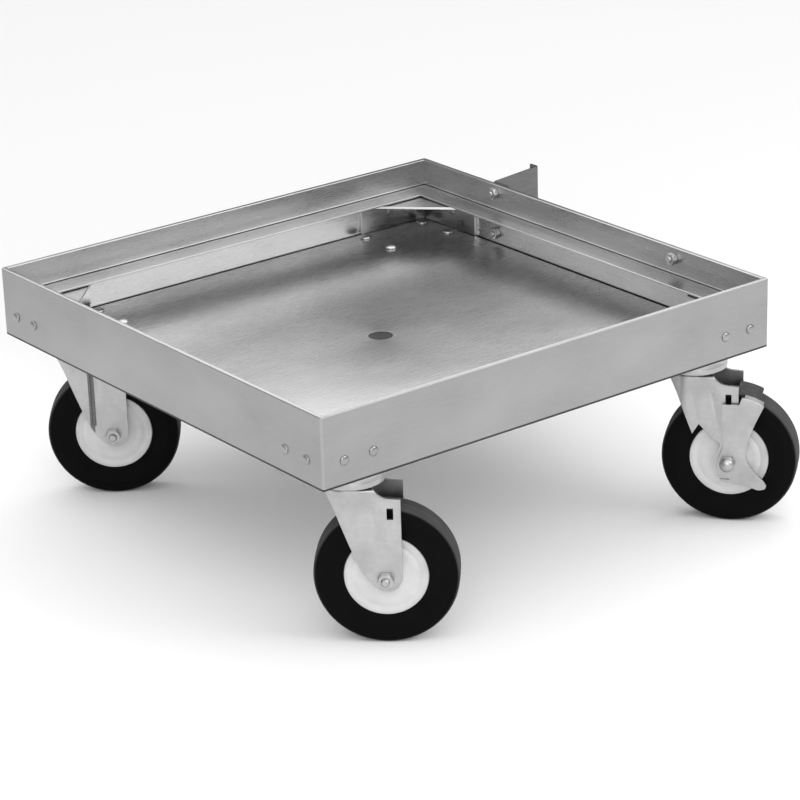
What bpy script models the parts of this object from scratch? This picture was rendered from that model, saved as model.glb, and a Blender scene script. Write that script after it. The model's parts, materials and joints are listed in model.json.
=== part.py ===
"""Low square rack dolly: a sheet-metal tray with a rack ledge on four swivel casters.

Lengths are in metres. The tray's own frame has its corner at the outer front-left corner,
+X to the right along the front wall, +Y to the back, and z = 0 at the walls' lower edge.
"""

import math

import bmesh
import bpy
from mathutils import Matrix, Vector

# Tray
SIDE = 0.527
WALL_HEIGHT = 0.069
SKIN = 0.0025
HEM_WIDTH = 0.005
HEM_DEPTH = 0.0270
FOOT_LIP = 0.006
FOOT_LIP_THICKNESS = 0.0022
LEDGE_TOP = 0.0417
LEDGE_WIDTH = 0.0265
LEDGE_THICKNESS = 0.002
FLOOR_BOTTOM = 0.0025
FLOOR_THICKNESS = 0.0025
DRAIN_RADIUS = 0.011
GAP = 0.0003
WALL_NAMES = ("front", "right", "back", "left")
CORNER_NAMES = ("front_left", "front_right", "back_right", "back_left")

# Corner brackets and their rivets
BRACKET_LEG = 0.088
BRACKET_SHEET = 0.0027
GUSSET_TOP = 0.039
GUSSET_SHEET = 0.0024
GUSSET_END = 0.012
RIVET_INSETS = (0.0235, 0.055)
RIVET_HEIGHT = 0.0236
RIVET_RADIUS = 0.0024
RIVET_HEAD_RADIUS = 0.0047
RIVET_HEAD_HEIGHT = 0.0022
RIVET_TAIL_HEIGHT = 0.0014

# Handle bracket on the right wall
HANDLE_PLATE_Y = 0.412
HANDLE_REACH = 0.061
HANDLE_SHEET = 0.0025
HANDLE_FLANGE = 0.024
HANDLE_LIP = 0.012
HANDLE_BOTTOM = 0.003
HANDLE_RISE = 0.0045
HANDLE_BOLTS = {"upper": (0.402, 0.060), "lower": (0.400, 0.017), "spare": (0.127, 0.058)}
HANDLE_BOLT_RADIUS = 0.003
HANDLE_BOLT_HEAD = 0.0062
HANDLE_BOLT_HEAD_HEIGHT = 0.003
HANDLE_BOLT_END = HEM_WIDTH + 0.0075
HANDLE_NUT_END = HEM_WIDTH + 0.006

# Casters: where the swivel axes stand, and which way each fork trails (degrees below +X)
SWIVEL_INSET = (0.058, 0.040)
TRAIL_ANGLES = {"front_left": 41.0, "front_right": 50.0, "back_left": 37.0, "back_right": 38.0}
BRAKED_CASTER = "front_right"
TRAILS = {"front_left": 0.030, "front_right": 0.0355, "back_left": 0.030, "back_right": 0.030}
AXLE_Z = -0.1035
WHEEL_RADIUS = 0.0655
GROUND_Z = AXLE_Z - WHEEL_RADIUS

PLATE_SIZE = (0.095, 0.060)
PLATE_TOP = 0.0022
PLATE_THICKNESS = 0.003
BOLT_SPACING = (0.0762, 0.0445)
BOLT_RADIUS = 0.004
BOLT_HEAD_RADIUS = 0.0062
BOLT_HEAD_HEIGHT = 0.003
BOLT_NUT_HEIGHT = 0.0045
RACE_RADIUS = 0.0316
RACE_BOTTOM = -0.0145
RACE_WALL = 0.0036
RACE_CUP = 0.003
BALL_RING = (0.0165, 0.0275)
BOSS_RADIUS = 0.010
KINGPIN_RADIUS = 0.006
KINGPIN_HEAD_RADIUS = 0.0095
KINGPIN_HEAD_HEIGHT = 0.0055
KINGPIN_TOP = 0.0006
RUNNING_FIT = 0.0001
CROWN_TOP = -0.017
CROWN_THICKNESS = 0.003

FORK_HALF_WIDTH = 0.0225
FORK_SHEET = 0.003
FORK_INNER = FORK_HALF_WIDTH - FORK_SHEET
FORK_NOSE_CENTRE = -0.0030
CROWN_REAR = 0.020
LEG_REAR = 0.046
LEG_TOP = -0.0270
LEG_END_RADIUS = 0.0145
LEG_END_X = 0.031
LEG_END_Z = -0.1155
SLOT_CENTRE = (0.0355, -0.0405)
SLOT_SIZE = (0.0058, 0.0108)

AXLE_RADIUS = 0.0039
SLEEVE_RADIUS = 0.006
SLEEVE_HALF = 0.0192
BEARING_FIT = 0.00005
HEX_RADIUS = 0.0078
HEX_HEIGHT = 0.0053
NUT_HEIGHT = 0.0065
BOLT_SHOWS = 0.0025
CORE_RADIUS = 0.038
HUB_RADIUS = 0.0135
HUB_HALF = 0.0189
HUB_FOOT_RADIUS = 0.024
CORE_FACE = 0.0142
TYRE_HALF_WIDTH = 0.0159
TREAD_HALF_WIDTH = 0.0095
SIDEWALL_RADIUS = 0.054
SHOULDER_RADIUS = 0.0635
SHOULDER_DROP = 0.0024

# Brake lever, turning on the axle bolt outside the near leg
LEVER_NEAR = -0.0268
LEVER_FAR = -0.0243
SHOE_INNER_RADIUS = WHEEL_RADIUS + 0.0007
SHOE_OUTER_RADIUS = WHEEL_RADIUS + 0.0036
SHOE_ANGLES = (64.0, 84.0)
FLANGE_ANGLES = (61.0, 77.0)
FLANGE_FAR = -0.0172
DOME_NUT_TIP = -0.0380
DOME_NUT_HEX = 0.0045
WASHER_RADIUS = 0.0085

COLOURS = {
    "stainless": ((0.62, 0.63, 0.64, 1.0), 0.32, 1.0),
    "zinc": ((0.70, 0.71, 0.72, 1.0), 0.30, 1.0),
    "core": ((0.78, 0.78, 0.78, 1.0), 0.42, 0.6),
    "rubber": ((0.02, 0.02, 0.02, 1.0), 0.7, 0.0),
    "dark_steel": ((0.08, 0.08, 0.08, 1.0), 0.55, 0.4),
}


# ---------------------------------------------------------------- tools

def clear_scene():
    for obj in list(bpy.data.objects):
        bpy.data.objects.remove(obj, do_unlink=True)


def material(name):
    colour, roughness, metallic = COLOURS[name]
    found = bpy.data.materials.get(name)
    if found:
        return found
    found = bpy.data.materials.new(name)
    found.use_nodes = True
    shader = found.node_tree.nodes["Principled BSDF"]
    shader.inputs["Base Color"].default_value = colour
    shader.inputs["Roughness"].default_value = roughness
    shader.inputs["Metallic"].default_value = metallic
    return found


def add_object(name, mesh_data, finish, parent, smooth=False):
    mesh = bpy.data.meshes.new(name)
    mesh_data.to_mesh(mesh)
    mesh_data.free()
    if smooth:
        mesh.shade_smooth()
        mesh.set_sharp_from_angle(angle=math.radians(35))
    obj = bpy.data.objects.new(name, mesh)
    obj.data.materials.append(material(finish))
    bpy.context.scene.collection.objects.link(obj)
    obj.parent = parent
    return obj


def add_empty(name, location, parent, turn=0.0):
    empty = bpy.data.objects.new(name, None)
    bpy.context.scene.collection.objects.link(empty)
    empty.location = location
    empty.rotation_euler = (0.0, 0.0, turn)
    empty.parent = parent
    return empty


def combine(target, mesh_data, operation):
    """Leaves a Boolean modifier on target, whose hidden operand is made from mesh_data."""
    name = f"{target.name}.helper{len(target.modifiers)}"
    helper = add_object(name, mesh_data, "zinc", target.parent)
    helper.hide_render = True
    helper.display_type = "WIRE"
    modifier = target.modifiers.new(operation.lower(), "BOOLEAN")
    modifier.operation = operation
    modifier.object = helper


def oriented(data):
    bmesh.ops.recalc_face_normals(data, faces=data.faces)
    return data


def box(low, high):
    data = bmesh.new()
    size = Vector(high) - Vector(low)
    place = Matrix.Translation((Vector(low) + Vector(high)) / 2) @ Matrix.Diagonal((*size, 1.0))
    bmesh.ops.create_cube(data, size=1.0, matrix=place)
    return data


def prism(outline, start, end, plane="XY"):
    """Extrudes a flat outline: given in (x, y) along z, or in (x, z) along y."""
    data = bmesh.new()
    if plane == "XY":
        corners = [data.verts.new((a, b, start)) for a, b in outline]
        step = Vector((0.0, 0.0, end - start))
    else:
        corners = [data.verts.new((a, start, b)) for a, b in outline]
        step = Vector((0.0, end - start, 0.0))
    face = data.faces.new(corners)
    made = bmesh.ops.extrude_face_region(data, geom=[face])
    moved = [item for item in made["geom"] if isinstance(item, bmesh.types.BMVert)]
    bmesh.ops.translate(data, verts=moved, vec=step)
    return oriented(data)


def turned(profile, segments, centre=(0.0, 0.0, 0.0), along="Z", loop=False):
    """Turns a profile of (radius, height) points. A loop profile makes a ring with a bore."""
    data = bmesh.new()
    rings = []
    for radius, height in profile:
        count = 1 if radius == 0.0 else segments
        ring = []
        for i in range(count):
            angle = 2.0 * math.pi * (i + 0.5) / segments
            ring.append(data.verts.new((radius * math.cos(angle), radius * math.sin(angle), height)))
        rings.append(ring)
    pairs = list(zip(rings, rings[1:] + rings[:1])) if loop else list(zip(rings, rings[1:]))
    for low, high in pairs:
        for i in range(segments):
            a, b = low[i % len(low)], low[(i + 1) % len(low)]
            c, d = high[(i + 1) % len(high)], high[i % len(high)]
            corners = [v for k, v in enumerate((a, b, c, d)) if v not in (a, b, c, d)[:k]]
            data.faces.new(corners)
    if along == "Y":
        bmesh.ops.rotate(data, verts=data.verts, matrix=Matrix.Rotation(math.radians(-90), 3, "X"))
    bmesh.ops.translate(data, verts=data.verts, vec=centre)
    return oriented(data)


def cylinder(radius, low, high, segments, centre=(0.0, 0.0, 0.0), along="Z"):
    profile = [(0.0, low), (radius, low), (radius, high), (0.0, high)]
    return turned(profile, segments, centre, along)


def merged(*parts):
    """Puts several closed shapes in one mesh, for use as a Boolean's operand."""
    data = bmesh.new()
    for part in parts:
        mesh = bpy.data.meshes.new("operand")
        part.to_mesh(mesh)
        part.free()
        data.from_mesh(mesh)
        bpy.data.meshes.remove(mesh)
    return data


def arc(centre, radius, start, end, steps):
    """Points on an arc, from one angle to another in degrees."""
    points = []
    for i in range(steps + 1):
        angle = math.radians(start + (end - start) * i / steps)
        points.append((centre[0] + radius * math.cos(angle), centre[1] + radius * math.sin(angle)))
    return points


def around(shaft_radius, clearance, segments):
    """The corner radius of a faceted hole that clears a round shaft by the given amount."""
    return (shaft_radius + clearance) / math.cos(math.pi / segments)


# ---------------------------------------------------------------- tray

def wall_space(index):
    """Places one wall: its own x runs along the outer face, y inward. Walls go round the tray."""
    corners = [(0.0, 0.0), (SIDE, 0.0), (SIDE, SIDE), (0.0, SIDE)]
    turn = Matrix.Rotation(math.radians(90 * index), 4, "Z")
    return Matrix.Translation((*corners[index], 0.0)) @ turn


def mitred(section):
    """Sweeps a (depth, height) section along one wall, with 45-degree ends a hairline short."""
    data = bmesh.new()
    ends = []
    for side in (0, 1):
        ring = []
        for depth, height in section:
            along = depth + GAP / 2 if side == 0 else SIDE - depth - GAP / 2
            ring.append(data.verts.new((along, depth, height)))
        ends.append(ring)
    count = len(section)
    for i in range(count):
        j = (i + 1) % count
        data.faces.new((ends[0][i], ends[0][j], ends[1][j], ends[1][i]))
    data.faces.new(ends[0])
    data.faces.new(list(reversed(ends[1])))
    return oriented(data)


def rail_section():
    hem_bottom = WALL_HEIGHT - HEM_DEPTH
    return [
        (0.0, 0.0), (FOOT_LIP, 0.0), (FOOT_LIP, FOOT_LIP_THICKNESS), (SKIN, FOOT_LIP_THICKNESS),
        (SKIN, hem_bottom), (HEM_WIDTH, hem_bottom), (HEM_WIDTH, WALL_HEIGHT), (0.0, WALL_HEIGHT),
    ]


def ledge_section():
    foot = FLOOR_BOTTOM + FLOOR_THICKNESS + GAP
    back = SKIN + GAP
    edge = HEM_WIDTH + LEDGE_WIDTH
    under = LEDGE_TOP - LEDGE_THICKNESS
    return [
        (back, foot), (HEM_WIDTH, foot), (HEM_WIDTH, under), (edge, under),
        (edge, LEDGE_TOP), (HEM_WIDTH + GAP, LEDGE_TOP), (back, LEDGE_TOP - LEDGE_THICKNESS),
    ]


def rivet_places():
    return [*RIVET_INSETS, *(SIDE - inset for inset in reversed(RIVET_INSETS))]


def cross_holes(places, radius, segments):
    """Cutters that run through a wall and all that lies on it, at (along, height) places."""
    low, high = -2 * SKIN, 2 * HEM_WIDTH
    shapes = [cylinder(radius, low, high, segments, (along, 0.0, height), "Y") for along, height in places]
    return merged(*shapes)


def build_walls(tray):
    holes = [(along, RIVET_HEIGHT) for along in rivet_places()]
    radius = around(RIVET_RADIUS, GAP, 8)
    for index, side in enumerate(WALL_NAMES):
        space = wall_space(index)
        rail = add_object(f"{side}_rail", mitred(rail_section()), "stainless", tray)
        ledge = add_object(f"{side}_ledge_angle", mitred(ledge_section()), "stainless", tray)
        for piece in (rail, ledge):
            piece.matrix_local = space
            in_place(piece, cross_holes(holes, radius, 8), "DIFFERENCE", space)
        if side == "right":
            cut_bracket_holes(rail, ledge, space)


def in_place(piece, shape, operation, space):
    """Combines a shape that is drawn in a wall's own space."""
    combine(piece, shape, operation)
    piece.modifiers[-1].object.matrix_local = space


def cut_bracket_holes(rail, ledge, space):
    radius = around(HANDLE_BOLT_RADIUS, GAP, 12)
    upper = [place for place in HANDLE_BOLTS.values() if place[1] > LEDGE_TOP]
    lower = [place for place in HANDLE_BOLTS.values() if place[1] < LEDGE_TOP]
    in_place(rail, cross_holes(upper + lower, radius, 12), "DIFFERENCE", space)
    in_place(ledge, cross_holes(lower, radius, 12), "DIFFERENCE", space)


def caster_bolt_places(name):
    centre = swivel_place(name)
    half_x, half_y = BOLT_SPACING[0] / 2, BOLT_SPACING[1] / 2
    return [(centre[0] + i * half_x, centre[1] + j * half_y) for i in (-1, 1) for j in (-1, 1)]


def build_floor(tray):
    edge = SKIN + GAP
    top = FLOOR_BOTTOM + FLOOR_THICKNESS
    sheet = box((edge, edge, FLOOR_BOTTOM), (SIDE - edge, SIDE - edge, top))
    floor = add_object("floor_pan", sheet, "stainless", tray)
    over = 2 * top
    holes = [cylinder(DRAIN_RADIUS, 0.0, over, 20, (SIDE / 2, SIDE / 2, 0.0))]
    radius = around(BOLT_RADIUS, GAP, 8)
    for name in TRAIL_ANGLES:
        for x, y in caster_bolt_places(name):
            holes.append(cylinder(radius, 0.0, over, 8, (x, y, 0.0)))
    combine(floor, merged(*holes), "DIFFERENCE")


def rivet_shape(along):
    """One rivet through a wall, domed outside and flat-headed inside, in the wall's own space."""
    inner = HEM_WIDTH + GAP + BRACKET_SHEET
    tail = inner + RIVET_TAIL_HEIGHT
    head = RIVET_HEAD_RADIUS
    profile = [
        (0.0, -RIVET_HEAD_HEIGHT - GAP), (head * 0.65, -RIVET_HEAD_HEIGHT * 0.8 - GAP),
        (head, -GAP), (RIVET_RADIUS, -GAP), (RIVET_RADIUS, inner),
        (head * 0.8, inner), (head * 0.5, tail), (0.0, tail),
    ]
    return turned(profile, 8, (along, 0.0, RIVET_HEIGHT), "Y")


def swap_axes(data):
    """Mirrors a shape across the corner's diagonal, so that it lies along the other wall."""
    swap = Matrix(((0, 1, 0), (1, 0, 0), (0, 0, 1)))
    bmesh.ops.transform(data, matrix=swap.to_4x4(), verts=data.verts)
    return oriented(data)


def bracket_outline():
    inner = HEM_WIDTH + GAP
    reach = HEM_WIDTH + BRACKET_LEG
    return [
        (inner, inner), (reach, inner), (reach, inner + GUSSET_END),
        (inner + GUSSET_END, reach), (inner, reach),
    ]


def build_corner_brackets(tray):
    inner = HEM_WIDTH + GAP
    reach = HEM_WIDTH + BRACKET_LEG
    foot = FLOOR_BOTTOM + FLOOR_THICKNESS + GAP
    leg_top = GUSSET_TOP - GUSSET_SHEET / 2
    for index, name in enumerate(CORNER_NAMES):
        space = wall_space(index)
        gusset = prism(bracket_outline(), GUSSET_TOP - GUSSET_SHEET, GUSSET_TOP)
        bracket = add_object(f"{name}_corner_bracket", gusset, "stainless", tray)
        bracket.matrix_local = space
        leg_low = (inner, inner, foot)
        along_x = box(leg_low, (reach, inner + BRACKET_SHEET, leg_top))
        along_y = box(leg_low, (inner + BRACKET_SHEET, reach, leg_top))
        for leg in (along_x, along_y):
            in_place(bracket, leg, "UNION", space)
        rivets = [rivet_shape(along) for along in RIVET_INSETS]
        rivets += [swap_axes(rivet_shape(along)) for along in RIVET_INSETS]
        in_place(bracket, merged(*rivets), "UNION", space)


# ---------------------------------------------------------------- handle bracket

def build_handle_bracket(tray):
    """An angle held on the wall by its flange. Its plate rises to a short lip at the free edge."""
    wall = SIDE + GAP
    sheet = HANDLE_SHEET
    reach = SIDE + HANDLE_REACH
    plate_near = HANDLE_PLATE_Y - sheet
    flange = plate_near - HANDLE_FLANGE
    lip = plate_near + HANDLE_LIP
    outline = [
        (wall, flange), (wall + sheet, flange), (wall + sheet, plate_near), (reach, plate_near),
        (reach, lip), (reach - sheet, lip), (reach - sheet, HANDLE_PLATE_Y), (wall, HANDLE_PLATE_Y),
    ]
    shape = prism(outline, HANDLE_BOTTOM, WALL_HEIGHT)
    for corner in shape.verts:
        if corner.co.z > HANDLE_BOTTOM:
            corner.co.z += HANDLE_RISE * (corner.co.x - wall) / HANDLE_REACH
    bracket = add_object("handle_bracket", shape, "stainless", tray)
    radius = around(HANDLE_BOLT_RADIUS, GAP, 12)
    held = [HANDLE_BOLTS["upper"], HANDLE_BOLTS["lower"]]
    in_place(bracket, cross_holes(held, radius, 12), "DIFFERENCE", wall_space(1))


def build_handle_fasteners(tray):
    space = wall_space(1)
    bore = around(HANDLE_BOLT_RADIUS, GAP, 6)
    for name, (along, height) in HANDLE_BOLTS.items():
        face = -GAP if name == "spare" else -HANDLE_SHEET - 2 * GAP
        top = face - HANDLE_BOLT_HEAD_HEIGHT
        profile = [
            (0.0, top), (HANDLE_BOLT_HEAD * 0.7, top), (HANDLE_BOLT_HEAD, face),
            (HANDLE_BOLT_RADIUS, face), (HANDLE_BOLT_RADIUS, HANDLE_BOLT_END), (0.0, HANDLE_BOLT_END),
        ]
        centre = (along, 0.0, height)
        bolt = add_object(f"handle_bolt_{name}", turned(profile, 12, centre, "Y"), "zinc", tray, smooth=True)
        nut_shape = hex_ring(HANDLE_BOLT_HEAD, bore, HEM_WIDTH + GAP, HANDLE_NUT_END, centre)
        nut = add_object(f"handle_nut_{name}", nut_shape, "zinc", tray)
        bolt.matrix_local = space
        nut.matrix_local = space


def hex_ring(outer, inner, low, high, centre=(0.0, 0.0, 0.0)):
    """A hexagon nut along Y, with a plain bore."""
    profile = [(outer, low), (outer, high), (inner, high), (inner, low)]
    return turned(profile, 6, centre, "Y", loop=True)


# ---------------------------------------------------------------- casters

def swivel_place(name):
    x = SWIVEL_INSET[0] if name.endswith("left") else SIDE - SWIVEL_INSET[0]
    y = SWIVEL_INSET[1] if name.startswith("front") else SIDE - SWIVEL_INSET[1]
    return (x, y, 0.0)


def mounting_bolt():
    """A domed bolt through floor and plate with its nut under the plate, about its own axis."""
    radius = BOLT_HEAD_RADIUS
    face = FLOOR_BOTTOM + FLOOR_THICKNESS + GAP
    nut_low = PLATE_TOP - PLATE_THICKNESS - BOLT_NUT_HEIGHT
    nut_high = PLATE_TOP - PLATE_THICKNESS / 2
    return [
        (0.0, nut_low), (radius, nut_low), (radius, nut_high), (BOLT_RADIUS, nut_high), (BOLT_RADIUS, face),
        (radius, face), (radius * 0.65, face + BOLT_HEAD_HEIGHT * 0.8), (0.0, face + BOLT_HEAD_HEIGHT),
    ]


def build_top_plate(name, mount):
    half_x, half_y = PLATE_SIZE[0] / 2, PLATE_SIZE[1] / 2
    low = PLATE_TOP - PLATE_THICKNESS
    sheet = box((-half_x, -half_y, low), (half_x, half_y, PLATE_TOP))
    plate = add_object(f"{name}_top_plate", sheet, "zinc", mount)
    inside = RACE_RADIUS - RACE_WALL
    cup = low - RACE_CUP
    top = low + PLATE_THICKNESS / 3
    profile = [
        (0.0, top), (RACE_RADIUS, top), (RACE_RADIUS, RACE_BOTTOM), (inside, RACE_BOTTOM),
        (inside, cup), (BOSS_RADIUS, cup), (BOSS_RADIUS, RACE_BOTTOM), (0.0, RACE_BOTTOM),
    ]
    combine(plate, turned(profile, 20), "UNION")
    bolts = []
    for i in (-1, 1):
        for j in (-1, 1):
            place = (i * BOLT_SPACING[0] / 2, j * BOLT_SPACING[1] / 2, 0.0)
            bolts.append(turned(mounting_bolt(), 6, place))
    combine(plate, merged(*bolts), "UNION")
    bore = around(KINGPIN_RADIUS, GAP, 16)
    combine(plate, cylinder(bore, 2 * RACE_BOTTOM, KINGPIN_TOP + GAP, 16), "DIFFERENCE")


def build_kingpin(name, mount):
    """The king bolt that holds the fork up: its shank stands in the top plate's boss."""
    face = CROWN_TOP - CROWN_THICKNESS - GAP
    low = face - KINGPIN_HEAD_HEIGHT
    profile = [
        (0.0, low), (KINGPIN_HEAD_RADIUS * 0.92, low + 0.001), (KINGPIN_HEAD_RADIUS, face),
        (KINGPIN_RADIUS, face), (KINGPIN_RADIUS, KINGPIN_TOP), (0.0, KINGPIN_TOP),
    ]
    add_object(f"{name}_kingpin", turned(profile, 16), "zinc", mount, smooth=True)


def build_ball_race(name, swivel):
    """The ring of caged balls between plate and fork, as one ring."""
    low = CROWN_TOP + GAP
    high = RACE_BOTTOM - GAP
    inner, outer = BALL_RING
    profile = [(outer, low), (outer, high), (inner, high), (inner, low)]
    ring = turned(profile, 16, loop=True)
    add_object(f"{name}_ball_race", ring, "dark_steel", swivel, smooth=True)


def plan_outline(half_width, rear):
    nose = arc((FORK_NOSE_CENTRE, 0.0), half_width, 90, 270, 10)
    return [(rear, half_width), *nose, (rear, -half_width)]


def leg_outline():
    """The fork's side view as (along the trail, height)."""
    end = (LEG_END_X, LEG_END_Z + LEG_END_RADIUS)
    heel = arc(end, LEG_END_RADIUS, 215, 315, 5)
    return [
        (-0.0265, -0.0190), (-0.0265, -0.016), (CROWN_REAR, -0.016), (CROWN_REAR + 0.003, -0.0205),
        (CROWN_REAR + 0.007, -0.024), (CROWN_REAR + 0.012, -0.026), (LEG_REAR, LEG_TOP),
        (LEG_REAR, LEG_END_Z + 0.013), *reversed(heel),
        (0.008, -0.095), (0.0008, -0.077), (-0.0142, -0.037), (-0.0185, -0.0290), (-0.0225, -0.0235),
    ]


def brake_relief():
    """What the braked fork's near leg lacks: a notch and a slimmer lower end."""
    return [
        (0.0072, -0.0668), (0.0195, -0.0795), (0.0285, -0.0860), (0.0250, -0.0950), (0.0240, -0.1035),
        (0.0250, -0.1130), (0.0270, -0.1220), (-0.012, -0.122), (-0.012, -0.0945), (0.0010, -0.0770),
    ]


def build_fork(name, swivel):
    """Presses the fork's shape: a bent outline in plan, cut to the legs' outline from the side."""
    clear = 2 * FORK_HALF_WIDTH
    bottom = 2 * LEG_END_Z
    under_crown = CROWN_TOP - CROWN_THICKNESS
    blank = prism(plan_outline(FORK_HALF_WIDTH, clear), bottom, CROWN_TOP)
    fork = add_object(f"{name}_fork", blank, "zinc", swivel)
    channel = prism(plan_outline(FORK_INNER, 2 * clear), 2 * bottom, under_crown)
    combine(fork, channel, "DIFFERENCE")
    combine(fork, prism(leg_outline(), -clear, clear, "XZ"), "INTERSECT")
    open_rear = box((CROWN_REAR, -FORK_INNER, bottom), (clear, FORK_INNER, 0.0))
    combine(fork, open_rear, "DIFFERENCE")
    pin_hole = cylinder(around(KINGPIN_RADIUS, RUNNING_FIT, 16), 2 * CROWN_TOP, 0.0, 16)
    hub_place = (TRAILS[name], 0.0, AXLE_Z)
    axle_hole = cylinder(around(AXLE_RADIUS, GAP, 10), -clear, clear, 10, hub_place, "Y")
    combine(fork, merged(pin_hole, axle_hole, slot_cutter()), "DIFFERENCE")
    if name == BRAKED_CASTER:
        combine(fork, prism(brake_relief(), -clear, 1.5 * FORK_SHEET - FORK_HALF_WIDTH, "XZ"), "DIFFERENCE")


def slot_cutter():
    """Cuts the slot in the near leg only."""
    half_x, half_z = SLOT_SIZE[0] / 2, SLOT_SIZE[1] / 2
    x, z = SLOT_CENTRE
    low = (x - half_x, -2 * FORK_HALF_WIDTH, z - half_z)
    return box(low, (x + half_x, 1.5 * FORK_SHEET - FORK_HALF_WIDTH, z + half_z))


def build_axle(name, hub):
    """Bolt, nut and bearing sleeve, about the axle's own line. The nut is on the near side."""
    braked = name == BRAKED_CASTER
    outer = FORK_HALF_WIDTH + GAP
    nut_face = LEVER_NEAR - GAP if braked else -outer
    tip = nut_face - NUT_HEIGHT - (0.0 if braked else BOLT_SHOWS)
    head = cylinder(HEX_RADIUS, outer, outer + HEX_HEIGHT, 6, along="Y")
    bolt = add_object(f"{name}_axle_bolt", head, "zinc", hub)
    shank = [(0.0, tip - 0.001), (AXLE_RADIUS * 0.7, tip - 0.0008), (AXLE_RADIUS, tip + 0.0008)]
    shank += [(AXLE_RADIUS, outer + HEX_HEIGHT / 2), (0.0, outer + HEX_HEIGHT / 2)]
    combine(bolt, turned(shank, 16, along="Y"), "UNION")
    if braked:
        nut = dome_nut(nut_face)
    else:
        nut = hex_ring(HEX_RADIUS, around(AXLE_RADIUS, GAP, 6), nut_face - NUT_HEIGHT, nut_face)
    add_object(f"{name}_axle_nut", nut, "zinc", hub, smooth=braked)
    sleeve = tube(SLEEVE_RADIUS, -SLEEVE_HALF, SLEEVE_HALF)
    add_object(f"{name}_axle_sleeve", sleeve, "zinc", hub, smooth=True)


def tube(outer, low, high):
    """A round tube that stands clear of the axle bolt all round."""
    bore = around(AXLE_RADIUS, GAP, 16)
    profile = [(outer, low), (outer, high), (bore, high), (bore, low)]
    return turned(profile, 16, along="Y", loop=True)


def dome_nut(face):
    """A closed round-capped nut over the bolt's end, open towards the wheel."""
    bore = around(AXLE_RADIUS, GAP, 16)
    depth = face - NUT_HEIGHT - 0.0015
    tip = DOME_NUT_TIP
    profile = [
        (bore, face), (HEX_RADIUS, face), (HEX_RADIUS, face - DOME_NUT_HEX),
        (HEX_RADIUS * 0.86, tip + 0.003), (HEX_RADIUS * 0.5, tip + 0.0006), (0.0, tip),
    ]
    lathe = turned(profile, 16, along="Y")
    pocket = turned([(0.0, depth), (bore, depth), (bore, face)], 16, along="Y")
    return bridged(lathe, pocket)


def bridged(outside, inside):
    """Joins two open cups that share their mouth's rim into one closed shell."""
    data = merged(outside, inside)
    bmesh.ops.remove_doubles(data, verts=data.verts, dist=0.00001)
    return oriented(data)


def build_wheel(name, hub):
    bore = around(SLEEVE_RADIUS, BEARING_FIT, 24)
    core = [(bore, HUB_HALF), (HUB_RADIUS, HUB_HALF), (HUB_FOOT_RADIUS, CORE_FACE), (CORE_RADIUS, CORE_FACE)]
    add_object(f"{name}_wheel_core", symmetric(core, 24), "core", hub, smooth=True)
    width = TYRE_HALF_WIDTH
    tyre = [(CORE_RADIUS + GAP, width - 0.0012), (SIDEWALL_RADIUS, width)]
    tyre += [(SHOULDER_RADIUS, width - SHOULDER_DROP), (WHEEL_RADIUS, TREAD_HALF_WIDTH)]
    add_object(f"{name}_tyre", symmetric(tyre, 32), "rubber", hub, smooth=True)


def symmetric(half, segments):
    """Turns a ring along Y from the profile of its far half."""
    profile = [*half, *((radius, -y) for radius, y in reversed(half))]
    return turned(profile, segments, along="Y", loop=True)


# ---------------------------------------------------------------- brake

def lever_outline():
    """The lever's flat plate around the axle, as (along the trail, height) from the axle."""
    top = arc((0.0, 0.0), SHOE_OUTER_RADIUS - 0.0006, 60, 79, 5)
    waist = [(0.024, 0.037), (0.019, 0.0216), (0.017, 0.011), (0.019, 0.0)]
    waist += [(0.027, -0.010), (0.0338, -0.0160)]
    pedal = [(0.0375, -0.0215), (0.0360, -0.0255), (0.0290, -0.0272), (0.0220, -0.0240)]
    left = [(-0.006, -0.0200), (-0.0105, -0.0100), (-0.0100, 0.0), (-0.0070, 0.0090), (-0.0040, 0.0174)]
    shoulder = [(-0.006, 0.040), (-0.006, 0.0597), (0.0105, 0.0597)]
    return [*reversed(top), *waist, *pedal, *left, *shoulder]


def curved_bar(inner, outer, angles, near, far):
    outline = [*arc((0.0, 0.0), outer, *angles, 6), *reversed(arc((0.0, 0.0), inner, *angles, 6))]
    return prism(outline, near, far, "XZ")


def build_brake(hub):
    plate = prism(lever_outline(), LEVER_NEAR, LEVER_FAR, "XZ")
    lever = add_object("brake_lever", plate, "zinc", hub)
    near = LEVER_NEAR + 0.0005
    flange = curved_bar(SHOE_INNER_RADIUS + 0.0010, SHOE_OUTER_RADIUS, FLANGE_ANGLES, near, FLANGE_FAR)
    combine(lever, flange, "UNION")
    bearing = cylinder(around(AXLE_RADIUS, RUNNING_FIT, 16), 2 * LEVER_NEAR, 0.0, 16, along="Y")
    combine(lever, bearing, "DIFFERENCE")
    shoe_near = FLANGE_FAR + GAP
    shoe = curved_bar(SHOE_INNER_RADIUS, SHOE_OUTER_RADIUS, SHOE_ANGLES, shoe_near, TYRE_HALF_WIDTH)
    add_object("brake_shoe", shoe, "dark_steel", hub)
    washer = tube(WASHER_RADIUS, LEVER_FAR + GAP, -FORK_HALF_WIDTH - GAP)
    add_object("brake_washer", washer, "zinc", hub, smooth=True)


def build_caster(name, tray):
    mount = add_empty(f"{name}_mount", swivel_place(name), tray)
    swivel = add_empty(f"{name}_swivel_axis", (0.0, 0.0, 0.0), mount, math.radians(-TRAIL_ANGLES[name]))
    hub = add_empty(f"{name}_wheel_axis", (TRAILS[name], 0.0, AXLE_Z), swivel)
    build_top_plate(name, mount)
    build_kingpin(name, mount)
    build_ball_race(name, swivel)
    build_fork(name, swivel)
    build_axle(name, hub)
    build_wheel(name, hub)
    if name == BRAKED_CASTER:
        build_brake(hub)


# ---------------------------------------------------------------- whole

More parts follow.
